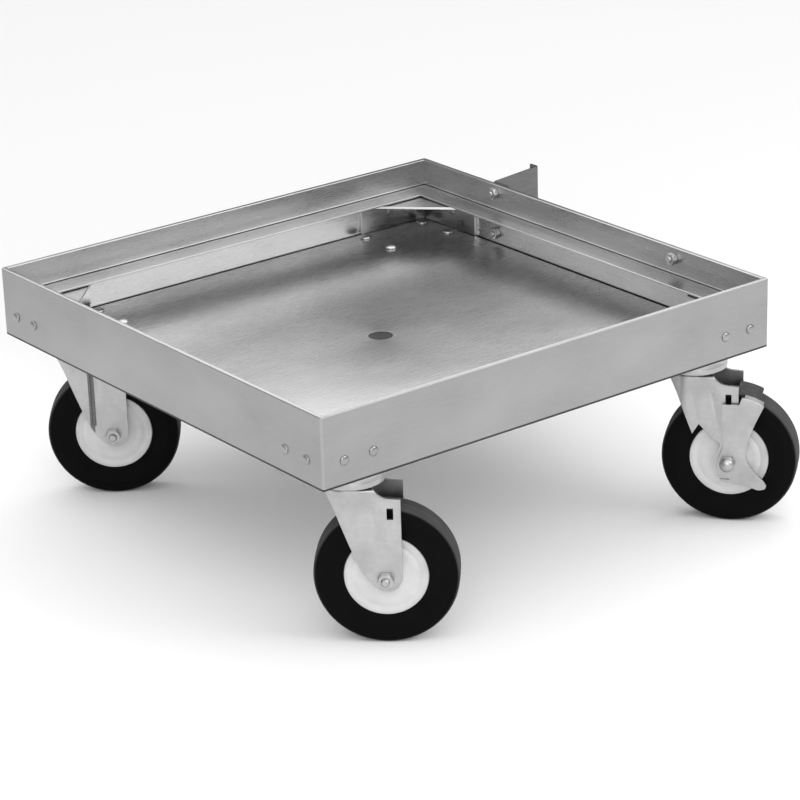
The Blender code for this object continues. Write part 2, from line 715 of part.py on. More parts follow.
def tray_place():
    """Puts the origin on the ground, under the middle of everything's outline seen from above."""
    turn = math.radians(TRAIL_ANGLES["front_right"])
    shoulder = SHOULDER_RADIUS * math.sin(turn) + (TYRE_HALF_WIDTH - SHOULDER_DROP) * math.cos(turn)
    front = SWIVEL_INSET[1] - TRAILS["front_right"] * math.sin(turn) - shoulder
    rivet = RIVET_HEAD_HEIGHT + GAP
    return (-(SIDE + HANDLE_REACH - rivet) / 2, -(SIDE + rivet + front) / 2, -GROUND_Z)


def main():
    clear_scene()
    tray = add_empty("tray_corner", tray_place(), None)
    build_walls(tray)
    build_floor(tray)
    build_corner_brackets(tray)
    build_handle_bracket(tray)
    build_handle_fasteners(tray)
    for name in TRAIL_ANGLES:
        build_caster(name, tray)


main()
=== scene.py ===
"""Looks of the square rack dolly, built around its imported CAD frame.

Lengths are in metres. Tray space has its corner at the outer front-left corner of the walls, at
their lower edge, +X along the front and +Y to the back. A wall's own space runs along its outer
face, with y inward. Caster space has its origin on the swivel axis at the same height, +X along
the fork's trail and +Y to the far side of the wheel. Hub space is the same, moved to the axle.
"""

import json
import math

import bmesh
import bpy
from mathutils import Matrix, Vector


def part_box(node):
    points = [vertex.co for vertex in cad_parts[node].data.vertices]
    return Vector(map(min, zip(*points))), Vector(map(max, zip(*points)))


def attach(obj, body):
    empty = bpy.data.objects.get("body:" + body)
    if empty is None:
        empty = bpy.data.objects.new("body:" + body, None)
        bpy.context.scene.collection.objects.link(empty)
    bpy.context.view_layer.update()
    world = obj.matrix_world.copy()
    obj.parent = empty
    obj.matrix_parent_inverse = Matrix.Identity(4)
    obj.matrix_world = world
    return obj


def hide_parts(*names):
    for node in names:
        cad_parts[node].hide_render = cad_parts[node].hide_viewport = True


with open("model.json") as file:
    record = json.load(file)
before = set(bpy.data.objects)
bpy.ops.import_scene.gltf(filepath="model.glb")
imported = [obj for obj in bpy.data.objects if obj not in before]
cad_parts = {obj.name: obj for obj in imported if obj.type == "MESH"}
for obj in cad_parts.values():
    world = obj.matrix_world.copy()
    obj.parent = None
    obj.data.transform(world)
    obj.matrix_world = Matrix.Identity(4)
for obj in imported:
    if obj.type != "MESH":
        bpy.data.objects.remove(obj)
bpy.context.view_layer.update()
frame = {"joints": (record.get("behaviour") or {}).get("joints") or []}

# Tray, as in the CAD
SIDE = 0.527
WALL_HEIGHT = 0.069
SKIN = 0.0025
HEM_WIDTH = 0.005
HEM_DEPTH = 0.0270
FOOT_LIP = 0.006
FOOT_LIP_THICKNESS = 0.0022
LEDGE_TOP = 0.0417
LEDGE_WIDTH = 0.0265
LEDGE_THICKNESS = 0.002
FLOOR_BOTTOM = 0.0025
FLOOR_TOP = 0.005
DRAIN_RADIUS = 0.011
GAP = 0.0003
SEAM = 0.00006

WALLS = ("front", "right", "back", "left")
CORNERS = ("front_left", "front_right", "back_right", "back_left")
CASTERS = ("front_left", "front_right", "back_left", "back_right")
BRAKED = "front_right"

BRACKET_LEG = 0.088
BRACKET_SHEET = 0.0027
GUSSET_TOP = 0.039
GUSSET_SHEET = 0.0024
GUSSET_END = 0.012
RIVET_INSETS = (0.0235, 0.055)
RIVET_HEIGHT = 0.0236
RIVET_RADIUS = 0.0024
RIVET_HEAD_RADIUS = 0.0047
RIVET_HEAD_HEIGHT = 0.0022
RIVET_TAIL_HEIGHT = 0.0014

HANDLE_PLATE_Y = 0.412
HANDLE_REACH = 0.061
HANDLE_SHEET = 0.0025
HANDLE_FLANGE = 0.024
HANDLE_LIP = 0.012
HANDLE_BOTTOM = 0.003
HANDLE_RISE = 0.0045
HANDLE_BOLTS = {"upper": (0.402, 0.060), "lower": (0.400, 0.017), "spare": (0.127, 0.058)}
HANDLE_BOLT_HEAD = 0.0062
HANDLE_BOLT_HEAD_HEIGHT = 0.003
HANDLE_BOLT_RADIUS = 0.003
HANDLE_BOLT_END = HEM_WIDTH + 0.0075
HANDLE_NUT_END = HEM_WIDTH + 0.006

# Casters
TRAILS = {"front_left": 0.030, "front_right": 0.0355, "back_left": 0.030, "back_right": 0.030}
AXLE_Z = -0.1035
WHEEL_RADIUS = 0.0655
PLATE_SIZE = (0.095, 0.060)
PLATE_TOP = 0.0022
PLATE_THICKNESS = 0.003
BOLT_SPACING = (0.0762, 0.0445)
BOLT_RADIUS = 0.004
BOLT_HEAD_RADIUS = 0.0062
BOLT_HEAD_HEIGHT = 0.003
BOLT_NUT_HEIGHT = 0.0045
RACE_RADIUS = 0.0316
RACE_BOTTOM = -0.0145
RACE_WALL = 0.0036
RACE_CUP = 0.003
BALL_RING = (0.0165, 0.0275)
BOSS_RADIUS = 0.010
KINGPIN_RADIUS = 0.006
KINGPIN_HEAD_RADIUS = 0.0095
KINGPIN_HEAD_HEIGHT = 0.0055
KINGPIN_TOP = 0.0006
CROWN_TOP = -0.017
CROWN_THICKNESS = 0.003

FORK_HALF_WIDTH = 0.0225
FORK_SHEET = 0.003
FORK_NOSE_CENTRE = -0.0030
FORK_JOG = 0.0007
CROWN_REAR = 0.020
LEG_REAR = 0.046
LEG_TOP = -0.0270
LEG_END_RADIUS = 0.0145
LEG_END_X = 0.031
LEG_END_Z = -0.1155
SLOT_CENTRE = (0.0355, -0.0405)
SLOT_SIZE = (0.0058, 0.0108)

AXLE_RADIUS = 0.0039
SLEEVE_RADIUS = 0.006
SLEEVE_HALF = 0.0192
HEX_RADIUS = 0.0078
HEX_HEIGHT = 0.0053
NUT_HEIGHT = 0.0065
BOLT_SHOWS = 0.0025
CORE_RADIUS = 0.038
HUB_RADIUS = 0.0135
HUB_HALF = 0.0189
HUB_FOOT_RADIUS = 0.024
CORE_FACE = 0.0142
TYRE_HALF_WIDTH = 0.0159
TREAD_HALF_WIDTH = 0.0095
SIDEWALL_RADIUS = 0.054

LEVER_NEAR = -0.0268
LEVER_FAR = -0.0243
SHOE_INNER_RADIUS = WHEEL_RADIUS + 0.0007
SHOE_OUTER_RADIUS = WHEEL_RADIUS + 0.0036
SHOE_ANGLES = (64.0, 84.0)
FLANGE_ANGLES = (61.0, 77.0)
FLANGE_FAR = -0.0172
DOME_NUT_TIP = -0.0380
DOME_NUT_HEX = 0.0045
WASHER_RADIUS = 0.0085


# ---------------------------------------------------------------- spaces

def tray_corner():
    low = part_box("front_rail")[0]
    return Vector((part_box("left_rail")[0].x, low.y, low.z))


CORNER = tray_corner()
TRAY = Matrix.Translation(CORNER)
JOINTS = {joint["name"]: joint for joint in frame["joints"]}


def wall_space(index):
    """Places one wall: its own x runs along the outer face, y inward."""
    corners = [(0.0, 0.0), (SIDE, 0.0), (SIDE, SIDE), (0.0, SIDE)]
    turn = Matrix.Rotation(math.radians(90 * index), 4, "Z")
    return TRAY @ Matrix.Translation((*corners[index], 0.0)) @ turn


def mount_space(caster):
    x, y, _ = JOINTS[f"{caster}_swivel"]["pos_m"]
    return Matrix.Translation((x, y, CORNER.z))


def swivel_space(caster):
    across = JOINTS[f"{caster}_wheel"]["axis"]
    return mount_space(caster) @ Matrix.Rotation(-math.atan2(across[0], across[1]), 4, "Z")


def hub_space(caster):
    return swivel_space(caster) @ Matrix.Translation((TRAILS[caster], 0.0, AXLE_Z))


# ---------------------------------------------------------------- camera and light

CAMERA_FROM_CORNER = Vector((-1.4023, -1.9707, 1.0442))
CAMERA_AZIMUTH = math.radians(37.05)
CAMERA_ELEVATION = math.radians(21.67)
CAMERA_ROLL = math.radians(-1.851)
CAMERA_LENS = 138.06
SENSOR_WIDTH = 36.0


def build_camera():
    azimuth, elevation = CAMERA_AZIMUTH, CAMERA_ELEVATION
    flat = math.cos(elevation)
    ahead = Vector((math.sin(azimuth) * flat, math.cos(azimuth) * flat, -math.sin(elevation)))
    level = Vector((math.cos(azimuth), -math.sin(azimuth), 0.0))
    right = level * math.cos(CAMERA_ROLL) + level.cross(ahead) * math.sin(CAMERA_ROLL)
    above = right.cross(ahead)
    data = bpy.data.cameras.new("view")
    data.lens = CAMERA_LENS
    data.sensor_width = SENSOR_WIDTH
    camera = bpy.data.objects.new("view", data)
    bpy.context.scene.collection.objects.link(camera)
    turn = Matrix((right, above, -ahead)).transposed().to_4x4()
    camera.matrix_world = Matrix.Translation(CORNER + CAMERA_FROM_CORNER) @ turn
    bpy.context.scene.camera = camera


def area_light(name, place, target, size, power):
    data = bpy.data.lights.new(name, "AREA")
    data.shape = "RECTANGLE"
    data.size, data.size_y = size
    data.energy = power
    light = bpy.data.objects.new(name, data)
    bpy.context.scene.collection.objects.link(light)
    light.location = place
    aim = Vector(target) - Vector(place)
    light.rotation_mode = "QUATERNION"
    light.rotation_quaternion = aim.to_track_quat("-Z", "Y")
    light.visible_camera = False
    return light


# Each light's place, what it is aimed at, its size in metres, and its power in watts
LIGHTS = {
    "key": ((1.35, -2.1, 1.7), (0.0, 0.0, 0.1), (1.5, 1.2), 19),
    "camera_side": ((-2.1, -2.8, 1.5), (0.0, 0.0, 0.15), (2.8, 1.6), 34),
    "back_card": ((0.11, 0.26, 0.52), (-0.26, -0.26, 0.17), (1.7, 0.30), 2.8),
}

# The sky's tone rises with height, and falls from the camera's side to the far side
SKY_HEIGHTS = (0.30, 0.80)
SKY_TONES = (0.40, 1.60)
SKY_SIDES = (1.25, 0.33)
SKY_AWAY = (0.6, 0.8)


def build_sky():
    """A studio tent: bright overhead and on the camera's side, dim low down behind the object."""
    world = bpy.data.worlds.new("studio")
    bpy.context.scene.world = world
    world.use_nodes = True
    tree = world.node_tree
    background = tree.nodes["Background"]
    coordinate = tree.nodes.new("ShaderNodeTexCoord")
    parts = tree.nodes.new("ShaderNodeSeparateXYZ")
    tree.links.new(coordinate.outputs["Generated"], parts.inputs[0])
    height = map_range(tree, parts.outputs["Z"], SKY_HEIGHTS, SKY_TONES)
    sideways = math_node(tree, "MULTIPLY", parts.outputs["X"], SKY_AWAY[0])
    away = math_node(tree, "MULTIPLY_ADD", parts.outputs["Y"], SKY_AWAY[1], sideways)
    side = map_range(tree, away, (-1.0, 1.0), SKY_SIDES)
    tone = math_node(tree, "MULTIPLY", height, side)
    tree.links.new(tone, background.inputs["Color"])


def build_light():
    build_sky()
    for name, setting in LIGHTS.items():
        area_light(name, *setting)


FLOOR_HALF_SIZE = 12.0


def build_floor():
    data = bmesh.new()
    bmesh.ops.create_grid(data, x_segments=1, y_segments=1, size=FLOOR_HALF_SIZE)
    floor = add_mesh("studio_floor", data)
    floor.data.materials.append(plain_floor())


# ---------------------------------------------------------------- node tools

def math_node(tree, operation, first, second=None, third=None):
    node = tree.nodes.new("ShaderNodeMath")
    node.operation = operation
    for socket, value in zip(node.inputs, (first, second, third)):
        if isinstance(value, (int, float)):
            socket.default_value = value
        elif value is not None:
            tree.links.new(value, socket)
    return node.outputs[0]


def map_range(tree, value, source, target):
    node = tree.nodes.new("ShaderNodeMapRange")
    tree.links.new(value, node.inputs["Value"])
    node.inputs["From Min"].default_value, node.inputs["From Max"].default_value = source
    node.inputs["To Min"].default_value, node.inputs["To Max"].default_value = target
    return node.outputs["Result"]


def coordinates(tree, scale=(1.0, 1.0, 1.0), turn=(0.0, 0.0, 0.0)):
    coordinate = tree.nodes.new("ShaderNodeTexCoord")
    mapping = tree.nodes.new("ShaderNodeMapping")
    mapping.inputs["Scale"].default_value = scale
    mapping.inputs["Rotation"].default_value = [math.radians(angle) for angle in turn]
    tree.links.new(coordinate.outputs["Object"], mapping.inputs["Vector"])
    return mapping.outputs["Vector"]


def noise(tree, scale, stretch=(1.0, 1.0, 1.0), detail=3.0, turn=(0.0, 0.0, 0.0)):
    node = tree.nodes.new("ShaderNodeTexNoise")
    node.inputs["Scale"].default_value = scale
    node.inputs["Detail"].default_value = detail
    tree.links.new(coordinates(tree, stretch, turn), node.inputs["Vector"])
    return node.outputs["Fac"]


def mix_tones(tree, factor, first, second):
    """Mixes two greys, each one a number or another node's colour."""
    node = tree.nodes.new("ShaderNodeMix")
    node.data_type = "RGBA"
    tree.links.new(factor, node.inputs["Factor"])
    colours = [socket for socket in node.inputs if socket.type == "RGBA"]
    for socket, value in zip(colours, (first, second)):
        if isinstance(value, float):
            socket.default_value = (value, value, value, 1.0)
        else:
            tree.links.new(value, socket)
    return next(socket for socket in node.outputs if socket.type == "RGBA")


def bump(tree, height, distance, strength, below=None):
    node = tree.nodes.new("ShaderNodeBump")
    node.inputs["Strength"].default_value = strength
    node.inputs["Distance"].default_value = distance
    tree.links.new(height, node.inputs["Height"])
    if below is not None:
        tree.links.new(below, node.inputs["Normal"])
    return node.outputs["Normal"]


def new_material(name, tone, roughness, metallic):
    made = bpy.data.materials.new(name)
    made.use_nodes = True
    shader = made.node_tree.nodes["Principled BSDF"]
    shader.inputs["Base Color"].default_value = (tone, tone, tone, 1.0)
    shader.inputs["Roughness"].default_value = roughness
    shader.inputs["Metallic"].default_value = metallic
    return made


def finish_of(name, metallic):
    made = new_material(name, 0.5, 0.4, metallic)
    return made, made.node_tree, made.node_tree.nodes["Principled BSDF"]


def steel(name, tones, roughness, grain, waviness):
    """Brushed sheet: a fine grain along x, soft waves in the sheet, clouds of tone, and a few scratches."""
    made, tree, shader = finish_of(name, 1.0)
    lines = noise(tree, 55.0, (1.0, grain, grain), 4.0)
    clouds = noise(tree, 9.0, (1.0, 1.6, 1.6), 3.0)
    marks = noise(tree, 38.0, (1.0, 14.0, 14.0), 2.0, (0.0, 0.0, 24.0))
    scratch = map_range(tree, marks, (0.68, 0.76), (0.0, 0.15))
    base = mix_tones(tree, map_range(tree, clouds, (0.3, 0.7), (0.0, 1.0)), tones[0], tones[1])
    lined = mix_tones(tree, map_range(tree, lines, (0.35, 0.65), (0.0, 0.25)), base, tones[2])
    tree.links.new(mix_tones(tree, scratch, lined, tones[1]), shader.inputs["Base Color"])
    rough = math_node(tree, "MULTIPLY_ADD", lines, roughness[1] - roughness[0], roughness[0])
    tree.links.new(math_node(tree, "MULTIPLY_ADD", clouds, 0.06, rough), shader.inputs["Roughness"])
    waves = noise(tree, 7.0, (1.0, 2.2, 2.2), 1.0)
    broad = bump(tree, waves, waviness, 1.0)
    tree.links.new(bump(tree, lines, 0.00003, 0.25, broad), shader.inputs["Normal"])
    shader.inputs["Anisotropic"].default_value = 0.35
    return made


def zinc():
    """Bright plating: faint spangle, tone clouds, small dull spots and a lightly pitted surface."""
    made, tree, shader = finish_of("zinc", 1.0)
    spangle = tree.nodes.new("ShaderNodeTexVoronoi")
    spangle.inputs["Scale"].default_value = 170.0
    tree.links.new(coordinates(tree), spangle.inputs["Vector"])
    clouds = noise(tree, 34.0, detail=4.0)
    pits = noise(tree, 620.0, detail=2.0)
    spots = map_range(tree, noise(tree, 140.0, detail=3.0), (0.64, 0.76), (0.0, 0.35))
    tone = mix_tones(tree, map_range(tree, clouds, (0.3, 0.7), (0.0, 1.0)), 0.42, 0.58)
    fleck = map_range(tree, spangle.outputs["Distance"], (0.0, 0.8), (0.0, 0.25))
    flecked = mix_tones(tree, fleck, tone, 0.36)
    tree.links.new(mix_tones(tree, spots, flecked, 0.32), shader.inputs["Base Color"])
    tree.links.new(map_range(tree, clouds, (0.25, 0.75), (0.30, 0.46)), shader.inputs["Roughness"])
    dented = bump(tree, clouds, 0.0004, 0.6)
    tree.links.new(bump(tree, pits, 0.00005, 0.5, dented), shader.inputs["Normal"])
    return made


def core():
    """A painted wheel centre: pale enamel with a fine orange-peel, and a blotchy darkening towards its edge
    where it meets the tyre.
    """
    made, tree, shader = finish_of("core", 0.0)
    radius = wheel_radius(tree)
    peel = noise(tree, 520.0, detail=2.0)
    smudge = noise(tree, 42.0, detail=5.0)
    # Darkens the enamel in blotches over the last 4 mm before the tyre.
    edge = map_range(tree, radius, (CORE_RADIUS - 0.004, CORE_RADIUS), (0.0, 0.55))
    tyre_edge_darkening = math_node(tree, "MULTIPLY", edge, smudge)
    enamel_tone = mix_tones(tree, map_range(tree, smudge, (0.35, 0.7), (0.0, 1.0)), 0.64, 0.55)
    tree.links.new(mix_tones(tree, tyre_edge_darkening, enamel_tone, 0.24), shader.inputs["Base Color"])
    tree.links.new(map_range(tree, smudge, (0.3, 0.7), (0.32, 0.5)), shader.inputs["Roughness"])
    tree.links.new(bump(tree, peel, 0.00006, 0.4), shader.inputs["Normal"])
    shader.inputs["Coat Weight"].default_value = 0.25
    shader.inputs["Coat Roughness"].default_value = 0.3
    return made


def wheel_radius(tree):
    """Distance from the axle, in a wheel's own space, whose y is the axle."""
    coordinate = tree.nodes.new("ShaderNodeTexCoord")
    parts = tree.nodes.new("ShaderNodeSeparateXYZ")
    tree.links.new(coordinate.outputs["Object"], parts.inputs[0])
    lengths = [math_node(tree, "ABSOLUTE", parts.outputs[axis]) for axis in "XZ"]
    squares = [math_node(tree, "POWER", length, 2.0) for length in lengths]
    return math_node(tree, "SQRT", math_node(tree, "ADD", *squares))


def rubber():
    """Black tyre: satin sides with faint mould rings, and a tread worn grey and dusty."""
    made, tree, shader = finish_of("rubber", 0.0)
    radius = wheel_radius(tree)
    grit = noise(tree, 700.0, detail=3.0)
    patches = noise(tree, 55.0, detail=4.0)
    worn = map_range(tree, radius, (WHEEL_RADIUS - 0.0024, WHEEL_RADIUS - 0.0006), (0.0, 1.0))
    side = mix_tones(tree, patches, 0.0015, 0.0045)
    tread = mix_tones(tree, patches, 0.050, 0.090)
    tree.links.new(mix_tones(tree, worn, side, tread), shader.inputs["Base Color"])
    gloss = map_range(tree, patches, (0.3, 0.7), (0.52, 0.66))
    tree.links.new(math_node(tree, "MULTIPLY_ADD", worn, 0.2, gloss), shader.inputs["Roughness"])
    tree.links.new(bump(tree, grit, 0.00008, 0.5), shader.inputs["Normal"])
    shader.inputs["Specular IOR Level"].default_value = 0.05
    return made


def dark_steel():
    """Black oxide with greasy patches and rubbed spots."""
    made, tree, shader = finish_of("dark_steel", 0.6)
    grease = noise(tree, 60.0, detail=4.0)
    rubbed = map_range(tree, noise(tree, 240.0, detail=3.0), (0.58, 0.7), (0.0, 0.5))
    base = mix_tones(tree, grease, 0.030, 0.075)
    tree.links.new(mix_tones(tree, rubbed, base, 0.2), shader.inputs["Base Color"])
    tree.links.new(map_range(tree, grease, (0.3, 0.7), (0.35, 0.6)), shader.inputs["Roughness"])
    tree.links.new(bump(tree, grease, 0.0002, 0.5), shader.inputs["Normal"])
    return made


def plain_floor():
    return new_material("studio_floor", 0.93, 0.9, 0.0)


# The dark, middle and light tone of each sheet finish
WALL_TONES = (0.30, 0.37, 0.45)
# A lighter copy of the walls' finish for the inner faces, ledges and gussets: painted light
INNER_LIT_TONES = (0.34, 0.43, 0.50)
PAN_TONES = (0.54, 0.62, 0.68)
# The handle plate's dark finish, also used as painted shade in one fork's groove
PLATE_TONES = (0.13, 0.19, 0.26)
# Painted highlight on the rims, the corner edges and the ledges' edges
RIM_HIGHLIGHT_TONES = (0.36, 0.44, 0.52)
# Painted highlight on the hem's fold and on the brackets' leg ends and slanted edges
FOLD_HIGHLIGHT_TONES = (0.72, 0.80, 0.88)
# Painted shade at the walls' foot and inside the drain
SHADE_TONES = (0.05, 0.08, 0.11)

MATERIALS = {
    "stainless": steel("stainless", WALL_TONES, (0.20, 0.40), 26.0, 0.0009),
    "inner": steel("inner", INNER_LIT_TONES, (0.18, 0.34), 24.0, 0.0010),
    "pan": steel("pan", PAN_TONES, (0.20, 0.28), 30.0, 0.0002),
    "plate": steel("plate", PLATE_TONES, (0.26, 0.44), 18.0, 0.0006),
    "rim": steel("rim", RIM_HIGHLIGHT_TONES, (0.20, 0.34), 12.0, 0.0002),
    "fold": steel("fold", FOLD_HIGHLIGHT_TONES, (0.28, 0.42), 12.0, 0.0002),
    "painted_shade": steel("painted_shade", SHADE_TONES, (0.40, 0.55), 12.0, 0.0002),
    "zinc": zinc(),
    "core": core(),
    "rubber": rubber(),
    "dark_steel": dark_steel(),
}


# ---------------------------------------------------------------- mesh tools

def add_mesh(name, data, sharp=34.0):
    mesh = bpy.data.meshes.new(name)
    data.to_mesh(mesh)
    data.free()
    mesh.shade_smooth()
    mesh.set_sharp_from_angle(angle=math.radians(sharp))
    obj = bpy.data.objects.new(name, mesh)
    bpy.context.scene.collection.objects.link(obj)
    return obj


def add_piece(name, data, space, body, finish, nodes=(), bevel=0.0, segments=2):
    """Puts a finished piece in its place, on its body. A bevel softens the edges that cuts have left."""
    obj = add_mesh(name, data)
    obj.matrix_world = space
    if bevel:
        modifier = obj.modifiers.new("soft_edges", "BEVEL")
        modifier.width = bevel
        modifier.segments = segments
        modifier.limit_method = "ANGLE"
        modifier.angle_limit = math.radians(38)
        modifier.harden_normals = True
    obj.data.materials.append(MATERIALS[finish])
    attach(obj, body)
    if nodes:
        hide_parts(*nodes)
    return obj


def oriented(data):
    bmesh.ops.recalc_face_normals(data, faces=data.faces)
    return data


def curve_corner(before, corner, after, size, steps):
    back, ahead = before - corner, after - corner
    start = corner + back * min(size / back.length, 0.45)
    end = corner + ahead * min(size / ahead.length, 0.45)
    points = []
    for i in range(steps + 1):
        share = i / steps
        points.append(start.lerp(corner, share).lerp(corner.lerp(end, share), share))
    return points


def rounded(points, size, steps=4):
    """Rounds an outline's corners. A third number in a corner is that corner's own size."""
    corners = [Vector(point[:2]) for point in points]
    result = []
    for i, point in enumerate(points):
        own = point[2] if len(point) > 2 else size
        after = corners[(i + 1) % len(corners)]
        result += curve_corner(corners[i - 1], corners[i], after, own, steps) if own else [corners[i]]
    return [tuple(point) for point in result]


def arc(centre, radius, start, end, steps):
    points = []
    for i in range(steps + 1):
        angle = math.radians(start + (end - start) * i / steps)
        points.append((centre[0] + radius * math.cos(angle), centre[1] + radius * math.sin(angle)))
    return points


def prism(outline, start, end, plane="XY"):
    """Extrudes a flat outline: given in (x, y) along z, or in (x, z) along y."""
    data = bmesh.new()
    rings = []
    for level in (start, end):
        if plane == "XY":
            rings.append([data.verts.new((a, b, level)) for a, b in outline])
        else:
            rings.append([data.verts.new((a, level, b)) for a, b in outline])
    for i in range(len(outline)):
        j = (i + 1) % len(outline)
        data.faces.new((rings[0][i], rings[0][j], rings[1][j], rings[1][i]))
    data.faces.new(rings[0])
    data.faces.new(list(reversed(rings[1])))
    return oriented(data)


def box(low, high):
    outline = [(low[0], low[1]), (high[0], low[1]), (high[0], high[1]), (low[0], high[1])]
    return prism(outline, low[2], high[2])


def turned(profile, segments, centre=(0.0, 0.0, 0.0), along="Z", loop=False):
    """Turns a profile of (radius, height) points. A loop profile makes a ring with a bore."""
    data = bmesh.new()
    rings = []
    for radius, height in profile:
        ring = []
        for i in range(segments if radius > 0.0 else 1):
            angle = 2.0 * math.pi * (i + 0.5) / segments
            ring.append(data.verts.new((radius * math.cos(angle), radius * math.sin(angle), height)))
        rings.append(ring)
    pairs = list(zip(rings, rings[1:] + rings[:1])) if loop else list(zip(rings, rings[1:]))
    for low, high in pairs:
        for i in range(segments):
            a, b = low[i % len(low)], low[(i + 1) % len(low)]
            c, d = high[(i + 1) % len(high)], high[i % len(high)]
            data.faces.new([v for k, v in enumerate((a, b, c, d)) if v not in (a, b, c, d)[:k]])
    if along == "Y":
        bmesh.ops.rotate(data, verts=data.verts, matrix=Matrix.Rotation(math.radians(-90), 3, "X"))
    bmesh.ops.translate(data, verts=data.verts, vec=centre)
    return oriented(data)


def cylinder(radius, low, high, segments=32, centre=(0.0, 0.0, 0.0), along="Z"):
    return turned([(0.0, low), (radius, low), (radius, high), (0.0, high)], segments, centre, along)


def merged(*parts):
    """Puts several closed shapes in one mesh."""
    data = bmesh.new()
    for part in parts:
        mesh = bpy.data.meshes.new("part")
        part.to_mesh(mesh)
        part.free()
        data.from_mesh(mesh)
        bpy.data.meshes.remove(mesh)
    return data


def combined(data, other, operation):
    """The Boolean of two closed shapes."""
    objects = []
    for part in (data, other):
        mesh = bpy.data.meshes.new("operand")
        part.to_mesh(mesh)
        part.free()
        objects.append(bpy.data.objects.new("operand", mesh))
        bpy.context.scene.collection.objects.link(objects[-1])
    modifier = objects[0].modifiers.new("boolean", "BOOLEAN")
    modifier.operation = operation
    modifier.object = objects[1]
    result = bmesh.new()
    result.from_object(objects[0], bpy.context.evaluated_depsgraph_get())
    for obj in objects:
        mesh = obj.data
        bpy.data.objects.remove(obj)
        bpy.data.meshes.remove(mesh)
    bmesh.ops.dissolve_degenerate(result, edges=result.edges, dist=0.000002)
    return result


def cut(data, *cutters):
    return combined(data, merged(*cutters), "DIFFERENCE")


def moved(data, space):
    bmesh.ops.transform(data, matrix=space, verts=data.verts)
    return oriented(data)


def dome(radius, height, base, rim=0.0004, steps=7):
    """A profile of a domed head, from its rim up to its crown, for turned()."""
    profile = [(0.0, base), (radius, base), (radius, base + rim)]
    for i in range(1, steps + 1):
        angle = math.radians(90 * i / steps)
        profile.append((radius * math.cos(angle), base + rim + (height - rim) * math.sin(angle)))
    profile[-1] = (0.0, base + height)
    return profile


def hexagon(across_corners, low, high, bore=0.0, chamfer=0.0008, centre=(0.0, 0.0, 0.0)):
    """A hexagon nut or head along Z, its corners chamfered by a turned cut at both faces."""
    outline = arc((0.0, 0.0), across_corners, 0, 300, 5)
    inner = across_corners * 0.88
    edge = across_corners * 1.02
    lower = [(0.0, low), (inner, low), (edge, low + chamfer)]
    profile = [*lower, (edge, high - chamfer), (inner, high), (0.0, high)]
    data = combined(prism(outline, low, high), turned(profile, 48), "INTERSECT")
    if bore:
        margin = high - low
        data = cut(data, cylinder(bore, low - margin, high + margin, 32))
    bmesh.ops.translate(data, verts=data.verts, vec=centre)
    return data


def thread(radius, start, end, pitch=0.00125, tip=0.0007):
    """A profile of a threaded shank's end, as rings, from its root at start to its chamfered tip at end."""
    direction = 1.0 if end > start else -1.0
    turns = max(1, int(abs(end - start - direction * tip) / pitch))
    profile = []
    for i in range(turns):
        level = start + direction * i * pitch
        profile += [(radius * 0.9, level), (radius, level + direction * pitch / 2)]
    return [*profile, (radius * 0.92, end - direction * tip), (radius * 0.72, end), (0.0, end)]


ALONG_Y = Matrix.Rotation(math.radians(-90), 4, "X")
OUTWARD = Matrix.Rotation(math.radians(90), 4, "X")


# ---------------------------------------------------------------- tray

CORNER_RADIUS = 0.0020
CORNER_STEPS = 5
RIM_DEPTH = 0.0014
FOOT_SHADE = 0.0024
FOLD_LINE = 0.0016


def swept_wall(section):
    """Sweeps a (depth, height) section along a wall and half-way round the corner at each end."""
    data = bmesh.new()
    half = []
    for step in range(CORNER_STEPS + 1):
        angle = math.radians(45 * (1 - step / CORNER_STEPS))
        ring = []
        for depth, height in section:
            inner = max(CORNER_RADIUS - depth, 0.0)
            centre = max(CORNER_RADIUS, depth)
            ring.append((centre - inner * math.sin(angle) + SEAM, centre - inner * math.cos(angle), height))
        half.append(ring)
    mirrored = [[(SIDE - x, y, z) for x, y, z in ring] for ring in reversed(half)]
    rings = [[data.verts.new(point) for point in ring] for ring in (*half, *mirrored)]
    for low, high in zip(rings, rings[1:]):
        for i in range(len(section)):
            j = (i + 1) % len(section)
            data.faces.new((low[i], low[j], high[j], high[i]))
    data.faces.new(rings[0])
    data.faces.new(list(reversed(rings[-1])))
    bmesh.ops.remove_doubles(data, verts=data.verts, dist=0.0000005)
    return oriented(data)


def rail_section():
    hem_bottom = WALL_HEIGHT - HEM_DEPTH
    return rounded([
        (0.0, FOOT_SHADE, 0.0), (0.0, 0.0, 0.0016),
        (FOOT_LIP, 0.0, 0.0006), (FOOT_LIP, FOOT_LIP_THICKNESS, 0.0006),
        (SKIN, FOOT_LIP_THICKNESS, 0.0008), (SKIN, hem_bottom, 0.0), (HEM_WIDTH, hem_bottom, 0.0004),
        (HEM_WIDTH, hem_bottom + FOLD_LINE, 0.0),
        (HEM_WIDTH, WALL_HEIGHT, 0.0013), (0.0, WALL_HEIGHT, 0.0013),
    ], 0.0, 5)


def ledge_section():
    foot = FLOOR_TOP + GAP
    back = SKIN + GAP
    edge = HEM_WIDTH + LEDGE_WIDTH
    under = LEDGE_TOP - LEDGE_THICKNESS
    return rounded([
        (back, foot, 0.0005), (HEM_WIDTH, foot, 0.0005), (HEM_WIDTH, under, 0.0012), (edge, under, 0.0006),
        (edge, LEDGE_TOP, 0.0009), (HEM_WIDTH + GAP, LEDGE_TOP, 0.0018), (back, under, 0.0008),
    ], 0.0, 5)


def on_corner_edge(middle):
    return min(middle.x, SIDE - middle.x) + middle.y < 0.9 * CORNER_RADIUS


